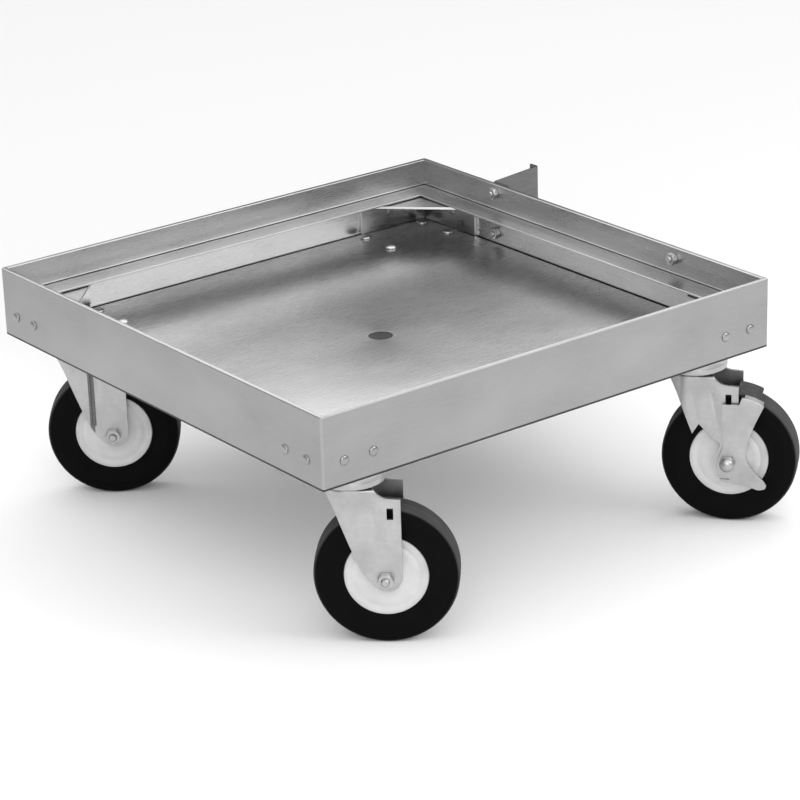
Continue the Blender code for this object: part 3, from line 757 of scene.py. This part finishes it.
def build_walls():
    """The walls and their ledges. Painted highlights brighten the rims, the corner edges, the ledges' edges
    and the hem's fold, and painted shade darkens the foot's edge.
    """
    fold = WALL_HEIGHT - HEM_DEPTH + FOLD_LINE
    for index, side in enumerate(WALLS):
        space = wall_space(index)
        section = swept_wall(rail_section())
        wall = add_piece(f"{side}_wall", section, space, "tray", "stainless", [f"{side}_rail"])
        # The inner faces get a lighter copy of the wall's finish, which is painted light.
        paint_where(wall, "inner", lambda middle: middle.y > SKIN / 2)
        # The rim's top and the rounded corner edge get a lighter finish: a painted highlight.
        paint_where(wall, "rim", lambda middle: middle.z > WALL_HEIGHT - RIM_DEPTH)
        paint_where(wall, "rim", on_corner_edge)
        # The strip along the foot gets a near-black finish: painted shade where the wall meets the floor.
        paint_where(wall, "painted_shade", lambda middle: middle.z < FOOT_SHADE)
        # A band along the hem's fold gets a pale finish: a painted highlight.
        paint_where(wall, "fold", lambda middle: middle.y > HEM_WIDTH - 0.0005 and middle.z < fold)
        ledge = swept_wall(ledge_section())
        # The ledge takes the lighter inner copy of the finish, which is painted light as well.
        shelf = add_piece(f"{side}_rack_ledge", ledge, space, "tray", "inner", [f"{side}_ledge_angle"])
        # The ledge's free edge gets the lighter rim finish: a painted highlight.
        paint_where(shelf, "rim", lambda middle: middle.y > HEM_WIDTH + LEDGE_WIDTH - 0.0010)


def paint_where(obj, finish, test):
    """Gives another material to the faces whose middles pass a test, such as a rubbed rim."""
    obj.data.materials.append(MATERIALS[finish])
    for face in obj.data.polygons:
        if test(face.center):
            face.material_index = len(obj.data.materials) - 1


def caster_bolt_places(caster):
    centre = mount_space(caster).translation - CORNER
    half_x, half_y = BOLT_SPACING[0] / 2, BOLT_SPACING[1] / 2
    return [(centre.x + i * half_x, centre.y + j * half_y) for i in (-1, 1) for j in (-1, 1)]


PAN_GROOVE = 0.0016
DRAIN_LIP = (0.0016, 0.0066)
DRAIN_DISH = (0.0009, 0.0012)


def build_pan():
    """The field stands proud of a narrow groove round its edge. The drain is dished, with a collar."""
    edge = SKIN + GAP
    field = HEM_WIDTH + PAN_GROOVE
    lower = box((edge, edge, FLOOR_BOTTOM), (SIDE - edge, SIDE - edge, FLOOR_TOP - 0.0009))
    upper = box((field, field, FLOOR_BOTTOM + 0.0004), (SIDE - field, SIDE - field, FLOOR_TOP))
    data = combined(lower, upper, "UNION")
    middle = (SIDE / 2, SIDE / 2, 0.0)
    lip = cylinder(DRAIN_RADIUS + DRAIN_LIP[0], FLOOR_BOTTOM - DRAIN_LIP[1], FLOOR_BOTTOM + 0.001, 64, middle)
    data = combined(data, lip, "UNION")
    over = 2 * FLOOR_TOP
    holes = [cylinder(DRAIN_RADIUS, -over, over, 64, middle)]
    wide, deep = DRAIN_DISH
    dish = [(0.0, FLOOR_TOP - deep), (DRAIN_RADIUS, FLOOR_TOP - deep), (DRAIN_RADIUS + wide, FLOOR_TOP)]
    dish += [(DRAIN_RADIUS + wide, FLOOR_TOP + deep), (0.0, FLOOR_TOP + deep)]
    holes.append(turned(dish, 64, middle))
    for caster in CASTERS:
        for x, y in caster_bolt_places(caster):
            holes.append(cylinder(BOLT_RADIUS + GAP, -over, over, 24, (x, y, 0.0)))
    pan = add_piece("pan", cut(data, *holes), TRAY, "tray", "pan", ["floor_pan"], bevel=0.0004)
    centre = Vector((SIDE / 2, SIDE / 2))
    inside = DRAIN_RADIUS + wide + 0.0001
    below = FLOOR_TOP - 0.0001
    # The inside of the drain's dish and collar gets the near-black finish: painted shade in the hole.
    paint_where(pan, "painted_shade", lambda middle: (middle.xy - centre).length < inside and middle.z < below)


def rivet(along):
    """One rivet through a wall, domed outside and flatter inside, in the wall's own space."""
    inner = HEM_WIDTH + GAP + BRACKET_SHEET
    head = turned(dome(RIVET_HEAD_RADIUS, RIVET_HEAD_HEIGHT, 0.0), 32)
    shank = cylinder(RIVET_RADIUS, -inner - 0.0002, 0.0002, 20)
    tail = turned([(r, -inner - h) for r, h in dome(RIVET_HEAD_RADIUS * 0.8, RIVET_TAIL_HEIGHT, 0.0)], 24)
    data = moved(merged(head, shank, tail), OUTWARD)
    bmesh.ops.translate(data, verts=data.verts, vec=(along, 0.0, RIVET_HEIGHT))
    return data


def swap_axes(data):
    """Mirrors a shape across the corner's diagonal, so that it lies along the other wall."""
    return moved(data, Matrix(((0, 1, 0), (1, 0, 0), (0, 0, 1))).to_4x4())


def corner_bracket():
    """Two legs against the walls, and a gusset across them with a rounded fold along each leg."""
    inner = HEM_WIDTH + GAP
    reach = HEM_WIDTH + BRACKET_LEG
    foot = FLOOR_TOP + GAP
    outline = [
        (inner, inner, 0.001), (reach, inner, 0.0008), (reach, inner + GUSSET_END, 0.004),
        (inner + GUSSET_END, reach, 0.004), (inner, reach, 0.0008),
    ]
    gusset = prism(rounded(outline, 0.0, 5), GUSSET_TOP - GUSSET_SHEET, GUSSET_TOP)
    top = GUSSET_TOP - GUSSET_SHEET / 2
    section = [(inner, foot), (inner + BRACKET_SHEET, foot), (inner + BRACKET_SHEET, top), (inner, top)]
    leg = prism(rounded([(y, z, 0.0005) for y, z in section], 0.0, 2), inner, reach, "XZ")
    across = swap_axes(leg.copy())
    data = combined(gusset, leg, "UNION")
    return combined(data, across, "UNION")


def build_corner_brackets():
    """The brackets and their rivets. The ends of the legs and the gusset's slanted edge get a painted
    highlight.
    """
    reach = HEM_WIDTH + BRACKET_LEG
    slant = reach + HEM_WIDTH + GUSSET_END
    for index, name in enumerate(CORNERS):
        space = wall_space(index)
        node = f"{name}_corner_bracket"
        # The gusset takes the lighter inner copy of the finish, which is painted light.
        gusset = add_piece(f"{name}_gusset", corner_bracket(), space, "tray", "inner", [node], bevel=0.0006)
        # The legs' ends and the gusset's slanted edge get the pale fold finish: a painted highlight.
        paint_where(gusset, "fold", lambda middle: max(middle.x, middle.y) > reach - 0.0006)
        paint_where(gusset, "fold", lambda middle: middle.x + middle.y > slant - 0.0012)
        rivets = [rivet(along) for along in RIVET_INSETS]
        rivets += [swap_axes(rivet(along)) for along in RIVET_INSETS]
        add_piece(f"{name}_rivets", merged(*rivets), space, "tray", "stainless", [node])


# ---------------------------------------------------------------- handle bracket

def build_handle_bracket():
    """A bent sheet: its flange lies on the wall, and its plate rises to a lip at the free edge."""
    wall = SIDE + GAP
    sheet = HANDLE_SHEET
    reach = SIDE + HANDLE_REACH
    near = HANDLE_PLATE_Y - sheet
    outline = [
        (wall, near - HANDLE_FLANGE, 0.0004), (wall + sheet, near - HANDLE_FLANGE, 0.0004),
        (wall + sheet, near, 0.0015),
        (reach, near, 0.0034), (reach, near + HANDLE_LIP, 0.0004), (reach - sheet, near + HANDLE_LIP, 0.0004),
        (reach - sheet, HANDLE_PLATE_Y, 0.0015), (wall, HANDLE_PLATE_Y, 0.0030),
    ]
    data = prism(rounded(outline, 0.0, 5), HANDLE_BOTTOM, WALL_HEIGHT)
    for corner in data.verts:
        if corner.co.z > HANDLE_BOTTOM:
            corner.co.z += HANDLE_RISE * (corner.co.x - wall) / HANDLE_REACH
    holes = []
    for name in ("upper", "lower"):
        along, height = HANDLE_BOLTS[name]
        hole = cylinder(HANDLE_BOLT_RADIUS + GAP, -0.01, 0.01, 24)
        place = Matrix.Translation((SIDE, along, height)) @ Matrix.Rotation(math.radians(90), 4, "Y")
        holes.append(moved(hole, place))
    add_piece("handle_plate", cut(data, *holes), TRAY, "tray", "plate", ["handle_bracket"], bevel=0.0004)


def build_handle_fasteners():
    space = wall_space(1)
    radius = HANDLE_BOLT_RADIUS
    for name, (along, height) in HANDLE_BOLTS.items():
        face = GAP if name == "spare" else HANDLE_SHEET + 2 * GAP
        head = turned(dome(HANDLE_BOLT_HEAD, HANDLE_BOLT_HEAD_HEIGHT, face), 36)
        root = [(0.0, face + 0.001), (radius * 0.98, face + 0.001)]
        shank = turned([*root, *thread(radius, -HEM_WIDTH, -HANDLE_BOLT_END)], 24)
        bolt = moved(merged(head, shank), Matrix.Translation((along, 0.0, height)) @ OUTWARD)
        add_piece(f"handle_screw_{name}", bolt, space, "tray", "zinc", [f"handle_bolt_{name}"])
        nut = hexagon(HANDLE_BOLT_HEAD, HEM_WIDTH + GAP, HANDLE_NUT_END, radius + GAP, 0.0005)
        nut = moved(nut, Matrix.Translation((along, 0.0, height)) @ ALONG_Y)
        add_piece(f"handle_hex_nut_{name}", nut, space, "tray", "zinc", [f"handle_nut_{name}"], bevel=0.0002)


# ---------------------------------------------------------------- casters

def mounting_plate():
    """The caster's plate with its pressed race drum, whose wall carries a shallow bead."""
    half_x, half_y = PLATE_SIZE[0] / 2, PLATE_SIZE[1] / 2
    low = PLATE_TOP - PLATE_THICKNESS
    corners = [(half_x, half_y), (-half_x, half_y), (-half_x, -half_y), (half_x, -half_y)]
    plate = prism(rounded(corners, 0.007, 6), low, PLATE_TOP)
    inside = RACE_RADIUS - RACE_WALL
    cup = low - RACE_CUP
    top = low + PLATE_THICKNESS / 3
    middle = (low + RACE_BOTTOM) / 2
    profile = rounded([
        (0.0, top), (RACE_RADIUS, top), (RACE_RADIUS, middle + 0.0016, 0.0004),
        (RACE_RADIUS - 0.0005, middle, 0.0008), (RACE_RADIUS, middle - 0.0016, 0.0004),
        (RACE_RADIUS, RACE_BOTTOM, 0.0012), (inside, RACE_BOTTOM, 0.0006), (inside, cup, 0.001),
        (BOSS_RADIUS, cup, 0.001), (BOSS_RADIUS, RACE_BOTTOM, 0.0006), (0.0, RACE_BOTTOM),
    ], 0.0, 4)
    data = combined(plate, turned(profile, 72), "UNION")
    holes = [cylinder(KINGPIN_RADIUS + GAP, 2 * RACE_BOTTOM, KINGPIN_TOP + GAP, 36)]
    for i in (-1, 1):
        for j in (-1, 1):
            place = (i * BOLT_SPACING[0] / 2, j * BOLT_SPACING[1] / 2, 0.0)
            holes.append(cylinder(BOLT_RADIUS + GAP, -0.01, 0.01, 24, place))
    return cut(data, *holes)


def plate_bolts():
    """Four bolts down through the pan and the plate: domed heads above, nuts and threads below."""
    face = FLOOR_TOP + GAP
    low = PLATE_TOP - PLATE_THICKNESS - GAP
    parts = []
    for i in (-1, 1):
        for j in (-1, 1):
            place = Vector((i * BOLT_SPACING[0] / 2, j * BOLT_SPACING[1] / 2, 0.0))
            parts.append(turned(dome(BOLT_HEAD_RADIUS, BOLT_HEAD_HEIGHT, face), 40, place))
            tip = low - BOLT_NUT_HEIGHT
            root = [(0.0, face + 0.001), (BOLT_RADIUS * 0.96, face + 0.001)]
            parts.append(turned([*root, *thread(BOLT_RADIUS * 0.96, low, tip)], 24, place))
            parts.append(hexagon(BOLT_HEAD_RADIUS, tip + 0.0004, low, BOLT_RADIUS + 0.0001, 0.0006, place))
    return merged(*parts)


def kingpin():
    face = CROWN_TOP - CROWN_THICKNESS - GAP
    low = face - KINGPIN_HEAD_HEIGHT
    head = hexagon(KINGPIN_HEAD_RADIUS, low, face, 0.0, 0.0009)
    root = [(0.0, face - 0.001), (KINGPIN_RADIUS, face - 0.001)]
    shank = turned([*root, *thread(KINGPIN_RADIUS, face + 0.012, KINGPIN_TOP)], 32)
    return merged(head, shank)


BALL_COUNT = 24
BALL_RADIUS = 0.00093


def ball_race():
    """A cage between the plate's drum and the fork's crown, with its balls showing in its outer edge."""
    low, high = CROWN_TOP + GAP, RACE_BOTTOM - GAP
    inner, outer = BALL_RING
    third = (high - low) / 3
    edge = outer - 0.0012
    cage = [(inner, low + third), (edge, low + third), (edge, high - third), (inner, high - third)]
    parts = [turned(rounded(cage, 0.0001, 1), 72, loop=True)]
    for i in range(BALL_COUNT):
        angle = 2.0 * math.pi * i / BALL_COUNT
        radius = outer - BALL_RADIUS
        place = Matrix.Translation((radius * math.cos(angle), radius * math.sin(angle), (low + high) / 2))
        ball = bmesh.new()
        bmesh.ops.create_icosphere(ball, subdivisions=3, radius=BALL_RADIUS, matrix=place)
        parts.append(ball)
    return merged(*parts)


def plan_outline(half_width, rear):
    """The fork seen from above: a round nose, then a small jog out to the flat of each leg."""
    narrow = half_width - FORK_JOG
    nose = arc((FORK_NOSE_CENTRE, 0.0), narrow, 90, 270, 48)
    side = [(rear, half_width), (0.0125, half_width), (0.0080, narrow)]
    return [*side, *nose, *((x, -y) for x, y in reversed(side))]


def pressed(outline, low, high, fold):
    """A prism whose top edge is folded over on a radius, all round but at the open rear."""
    data = prism(outline, low, high)
    rear = max(x for x, _ in outline)
    close = 1e-6
    upper = [edge for edge in data.edges if all(abs(v.co.z - high) < close for v in edge.verts)]
    edges = [edge for edge in upper if min(v.co.x for v in edge.verts) < rear - close]
    bmesh.ops.bevel(data, geom=edges, offset=fold, segments=5, profile=0.5, affect="EDGES")
    return oriented(data)


def leg_outline():
    """The fork's side view as (along the trail, height)."""
    end = (LEG_END_X, LEG_END_Z + LEG_END_RADIUS)
    heel = arc(end, LEG_END_RADIUS, 215, 315, 20)
    return rounded([
        (-0.0275, -0.0190, 0.0010), (-0.0275, -0.0155), (CROWN_REAR, -0.0155),
        (CROWN_REAR + 0.003, -0.0205, 0.003), (CROWN_REAR + 0.007, -0.024, 0.003),
        (CROWN_REAR + 0.012, -0.026, 0.004), (LEG_REAR, LEG_TOP, 0.0022),
        (LEG_REAR, LEG_END_Z + 0.013, 0.004), *reversed(heel),
        (0.008, -0.095, 0.007), (0.0008, -0.077, 0.012),
        (-0.0142, -0.037, 0.006), (-0.0185, -0.0290, 0.004), (-0.0225, -0.0235, 0.003),
    ], 0.0, 6)


def brake_relief():
    """What the braked fork's near leg lacks: a notch and a slimmer lower end."""
    return rounded([
        (0.0072, -0.0668, 0.0006), (0.0195, -0.0795, 0.003), (0.0285, -0.0860, 0.002),
        (0.0250, -0.0950, 0.003), (0.0240, -0.1035, 0.003), (0.0250, -0.1130, 0.003),
        (0.0270, -0.1220), (-0.012, -0.122), (-0.012, -0.0945),
        (0.0010, -0.0770),
    ], 0.0, 4)


def slot_cutter():
    a, b = SLOT_SIZE[0] / 2, SLOT_SIZE[1] / 2
    x, z = SLOT_CENTRE
    corners = [(x - a, z - b), (x + a, z - b), (x + a, z + b), (x - a, z + b)]
    return prism(rounded(corners, 0.0005, 3), -2 * FORK_HALF_WIDTH, 1.5 * FORK_SHEET - FORK_HALF_WIDTH, "XZ")


DIMPLE_PLACE = (0.0195, -0.036)
DIMPLE_RADIUS = 0.005
DIMPLE_DEPTH = 0.0004


def dimple():
    data = bmesh.new()
    across = -(FORK_HALF_WIDTH + DIMPLE_RADIUS - DIMPLE_DEPTH)
    place = Matrix.Translation((DIMPLE_PLACE[0], across, DIMPLE_PLACE[1]))
    bmesh.ops.create_icosphere(data, subdivisions=5, radius=DIMPLE_RADIUS, matrix=place)
    return data


GROOVED = "back_left"
GROOVE_PLACE = 0.0120
GROOVE_RADIUS = 0.0030
GROOVE_DEPTH = 0.0010
GROOVE_HEIGHTS = (-0.092, -0.030)


def groove():
    """A shallow groove pressed down the near leg, which only one fork shows."""
    low, high = GROOVE_HEIGHTS
    radius = GROOVE_RADIUS
    across = -(FORK_HALF_WIDTH + radius - GROOVE_DEPTH)
    lower = [(0.0, low - radius), (0.7 * radius, low - 0.7 * radius), (radius, low)]
    upper = [(radius, high), (0.7 * radius, high + 0.7 * radius), (0.0, high + radius)]
    return turned(lower + upper, 64, (GROOVE_PLACE, across, 0.0))


# Faces inside the groove, which get a dark finish as painted shade.
def groove_shade_faces(middle):
    depth = middle.y + FORK_HALF_WIDTH
    return 0.00005 < depth < 1.2 * GROOVE_DEPTH and abs(middle.x - GROOVE_PLACE) < GROOVE_RADIUS


def fork(caster):
    """Pressed from one sheet: a crown with a folded edge, cut from the side to the legs' outline."""
    clear = 2 * FORK_HALF_WIDTH
    bottom = 2 * LEG_END_Z
    under = CROWN_TOP - CROWN_THICKNESS
    data = pressed(plan_outline(FORK_HALF_WIDTH, clear), bottom, CROWN_TOP, 0.0036)
    channel = pressed(plan_outline(FORK_HALF_WIDTH - FORK_SHEET, 2 * clear), 2 * bottom, under, 0.0012)
    data = combined(data, channel, "DIFFERENCE")
    data = combined(data, prism(leg_outline(), -clear, clear, "XZ"), "INTERSECT")
    inner = FORK_HALF_WIDTH - FORK_SHEET
    data = cut(data, box((CROWN_REAR, -inner, bottom), (clear, inner, 0.0)))
    pin_hole = cylinder(KINGPIN_RADIUS + 0.0001, 2 * CROWN_TOP, 0.0, 36)
    axle_hole = cylinder(AXLE_RADIUS + GAP, -clear, clear, 32, (TRAILS[caster], 0.0, AXLE_Z), "Y")
    data = cut(data, pin_hole, axle_hole, slot_cutter(), dimple())
    if caster == GROOVED:
        data = cut(data, groove())
    if caster == BRAKED:
        data = cut(data, prism(brake_relief(), -clear, 1.5 * FORK_SHEET - FORK_HALF_WIDTH, "XZ"))
    return data


def build_axle(caster):
    space = hub_space(caster)
    body = f"{caster}_swivel"
    braked = caster == BRAKED
    outer = FORK_HALF_WIDTH + GAP
    face = LEVER_NEAR - GAP if braked else -outer
    tip = face - NUT_HEIGHT - (0.0 if braked else BOLT_SHOWS)
    head = hexagon(HEX_RADIUS, outer + 0.0004, outer + HEX_HEIGHT, 0.0, 0.0009)
    collar = cylinder(HEX_RADIUS * 0.9, outer, outer + 0.0006, 48)
    root = [(0.0, outer + 0.001), (AXLE_RADIUS, outer + 0.001)]
    shank = turned([*root, *thread(AXLE_RADIUS, face + 0.002, tip)], 32)
    bolt = moved(merged(head, collar, shank), ALONG_Y)
    add_piece(f"{caster}_axle_screw", bolt, space, body, "zinc", [f"{caster}_axle_bolt"])
    bore = AXLE_RADIUS + 0.0001
    nut = dome_nut(face) if braked else hexagon(HEX_RADIUS, face - NUT_HEIGHT, face, bore, 0.0010)
    nut = moved(nut, ALONG_Y)
    add_piece(f"{caster}_axle_hex_nut", nut, space, body, "zinc", [f"{caster}_axle_nut"], bevel=0.00025)
    bearing = tube(SLEEVE_RADIUS, -SLEEVE_HALF, SLEEVE_HALF)
    add_piece(f"{caster}_bearing_sleeve", bearing, space, body, "zinc", [f"{caster}_axle_sleeve"])


def tube(outer, low, high):
    """A turned tube round the axle, its ends lightly chamfered."""
    bore = AXLE_RADIUS + GAP
    profile = rounded([(outer, low), (outer, high), (bore, high), (bore, low)], 0.0004, 2)
    return turned(profile, 40, along="Y", loop=True)


def dome_nut(face):
    """A closed round-capped nut, about Z with its mouth up."""
    seat = face - DOME_NUT_HEX
    cap = [(r, seat + 0.0004 - h) for r, h in dome(HEX_RADIUS * 0.90, seat - DOME_NUT_TIP, 0.0, 0.0012, 10)]
    cap = [(r, max(z, DOME_NUT_TIP)) for r, z in cap]
    data = combined(hexagon(HEX_RADIUS, seat, face, 0.0, 0.0007), turned(cap, 48), "UNION")
    return cut(data, cylinder(AXLE_RADIUS + GAP, face - NUT_HEIGHT - 0.0015, face + 0.001, 32))


def symmetric(half, segments):
    """Turns a ring along Y from the profile of its far half."""
    profile = [*half, *((radius, -y) for radius, y in reversed(half))]
    return turned(profile, segments, along="Y", loop=True)


CORE_RING = 0.0305


def wheel_core():
    """A disc with a rolled rim, one pressed ring and a hub that swells out to its bearing."""
    bore = SLEEVE_RADIUS + 0.00008
    profile = [(bore, HUB_HALF - 0.0005), (bore + 0.0005, HUB_HALF), (HUB_RADIUS - 0.0010, HUB_HALF)]
    for i in range(9):
        share = i / 8
        radius = HUB_RADIUS + (HUB_FOOT_RADIUS - HUB_RADIUS) * share
        profile.append((radius, CORE_FACE + (HUB_HALF - 0.0006 - CORE_FACE) * (1.0 - share) ** 1.8))
    ring, edge, face = CORE_RING, CORE_RADIUS, CORE_FACE
    profile += [(ring - 0.0012, face), (ring - 0.0006, face - 0.0004), (ring + 0.0006, face - 0.0004)]
    profile += [(ring + 0.0012, face), (edge - 0.0022, face), (edge - 0.0014, face + 0.0003)]
    profile += [(edge - 0.0006, face + 0.0002), (edge, face - 0.0006)]
    return symmetric(profile, 128)


SHOULDER_START = 0.0612
TREAD_RADIUS = WHEEL_RADIUS - 0.0002
SHOULDER_WIDTH = 0.0108


def tyre():
    """A solid tyre: a bead against the core, slightly full sides, round shoulders, and a mould seam."""
    inner = CORE_RADIUS + GAP
    wide = TYRE_HALF_WIDTH
    profile = [(inner, wide - 0.0022), (inner, wide - 0.0014), (inner + 0.0008, wide - 0.0009)]
    profile += [(inner + 0.0022, wide - 0.0009), (inner + 0.0030, wide - 0.0013)]
    profile += [(inner + 0.0042, wide - 0.0012), (0.0475, wide - 0.0005)]
    profile += [(SIDEWALL_RADIUS - 0.0010, wide - 0.0002), (SIDEWALL_RADIUS, wide)]
    profile += [(SIDEWALL_RADIUS + 0.0010, wide - 0.0002), (0.0585, wide - 0.0006)]
    for i in range(9):
        angle = math.radians(90 * i / 8)
        radius = SHOULDER_START + (TREAD_RADIUS - SHOULDER_START) * math.sin(angle)
        profile.append((radius, SHOULDER_WIDTH + (wide - 0.0011 - SHOULDER_WIDTH) * math.cos(angle)))
    profile += [(TREAD_RADIUS, TREAD_HALF_WIDTH), (TREAD_RADIUS, 0.0008), (WHEEL_RADIUS, 0.0003)]
    return symmetric(profile, 160)


# ---------------------------------------------------------------- brake

def lever_outline():
    """The lever's flat plate around the axle, as (along the trail, height) from the axle."""
    top = arc((0.0, 0.0), SHOE_OUTER_RADIUS - 0.0006, 60, 79, 12)
    waist = [(0.024, 0.037, 0.008), (0.019, 0.0216, 0.008), (0.017, 0.011, 0.006), (0.019, 0.0, 0.006)]
    waist += [(0.027, -0.010, 0.006), (0.0338, -0.0160, 0.002)]
    pedal = [(0.0375, -0.0215, 0.0012), (0.0360, -0.0255, 0.0012), (0.0290, -0.0272, 0.003)]
    pedal += [(0.0220, -0.0240, 0.006)]
    left = [(-0.006, -0.0200, 0.004), (-0.0105, -0.0100, 0.004), (-0.0100, 0.0, 0.004)]
    left += [(-0.0070, 0.0090, 0.004), (-0.0040, 0.0174, 0.004)]
    shoulder = [(-0.006, 0.040, 0.004), (-0.006, 0.0597, 0.0012), (0.0105, 0.0597, 0.0012)]
    return rounded([*reversed(top), *waist, *pedal, *left, *shoulder], 0.0, 5)


def curved_bar(inner, outer, angles, near, far):
    outline = [*arc((0.0, 0.0), outer, *angles, 16), *reversed(arc((0.0, 0.0), inner, *angles, 16))]
    return prism(outline, near, far, "XZ")


LEVER_SLOT = (-0.0035, -0.0155)
LEVER_SLOT_HALF = (0.0054, 0.0013)


def lever_slot():
    x, z = LEVER_SLOT
    a, b = LEVER_SLOT_HALF
    corners = [(x - a, z - b), (x + a, z - b - 0.0006), (x + a, z + b - 0.0006), (x - a, z + b)]
    return prism(rounded(corners, b * 0.9, 4), 2 * LEVER_NEAR, 0.0, "XZ")


def build_brake():
    space = hub_space(BRAKED)
    plate = prism(lever_outline(), LEVER_NEAR, LEVER_FAR, "XZ")
    near = LEVER_NEAR + 0.0005
    flange = curved_bar(SHOE_INNER_RADIUS + 0.0010, SHOE_OUTER_RADIUS, FLANGE_ANGLES, near, FLANGE_FAR)
    data = combined(plate, flange, "UNION")
    bearing = cylinder(AXLE_RADIUS + 0.0001, 2 * LEVER_NEAR, 0.0, 36, along="Y")
    lever = cut(data, bearing, lever_slot())
    add_piece("brake_pedal_lever", lever, space, "brake", "zinc", ["brake_lever"], bevel=0.0005)
    shoe = curved_bar(SHOE_INNER_RADIUS, SHOE_OUTER_RADIUS, SHOE_ANGLES, FLANGE_FAR + GAP, TYRE_HALF_WIDTH)
    add_piece("brake_pad", shoe, space, "brake", "dark_steel", ["brake_shoe"], bevel=0.0006)
    washer = tube(WASHER_RADIUS, LEVER_FAR + GAP, -FORK_HALF_WIDTH - GAP)
    add_piece("brake_spacer", washer, space, "front_right_swivel", "zinc", ["brake_washer"])


def build_caster(caster):
    mount, swivel, hub = mount_space(caster), swivel_space(caster), hub_space(caster)
    plate_node = f"{caster}_top_plate"
    add_piece(f"{caster}_mounting_plate", mounting_plate(), mount, "tray", "zinc", [plate_node], bevel=0.0004)
    add_piece(f"{caster}_plate_bolts", plate_bolts(), mount, "tray", "zinc", [plate_node])
    add_piece(f"{caster}_king_bolt", kingpin(), mount, "tray", "zinc", [f"{caster}_kingpin"])
    body = f"{caster}_swivel"
    add_piece(f"{caster}_caged_balls", ball_race(), swivel, body, "dark_steel", [f"{caster}_ball_race"])
    shape = fork(caster)
    made = add_piece(f"{caster}_pressed_fork", shape, swivel, body, "zinc", [f"{caster}_fork"], bevel=0.0005)
    if caster == GROOVED:
        # The groove's faces get the dark plate finish: painted shade in the crease.
        paint_where(made, "plate", groove_shade_faces)
    build_axle(caster)
    body = f"{caster}_wheel"
    add_piece(f"{caster}_wheel_disc", wheel_core(), hub, body, "core", [f"{caster}_wheel_core"])
    add_piece(f"{caster}_rubber_tyre", tyre(), hub, body, "rubber", [f"{caster}_tyre"])


# ---------------------------------------------------------------- whole

def main():
    build_camera()
    build_light()
    build_floor()
    build_walls()
    build_pan()
    build_corner_brackets()
    build_handle_bracket()
    build_handle_fasteners()
    for caster in CASTERS:
        build_caster(caster)
    build_brake()
    bpy.context.scene.view_settings.view_transform = "Standard"


main()
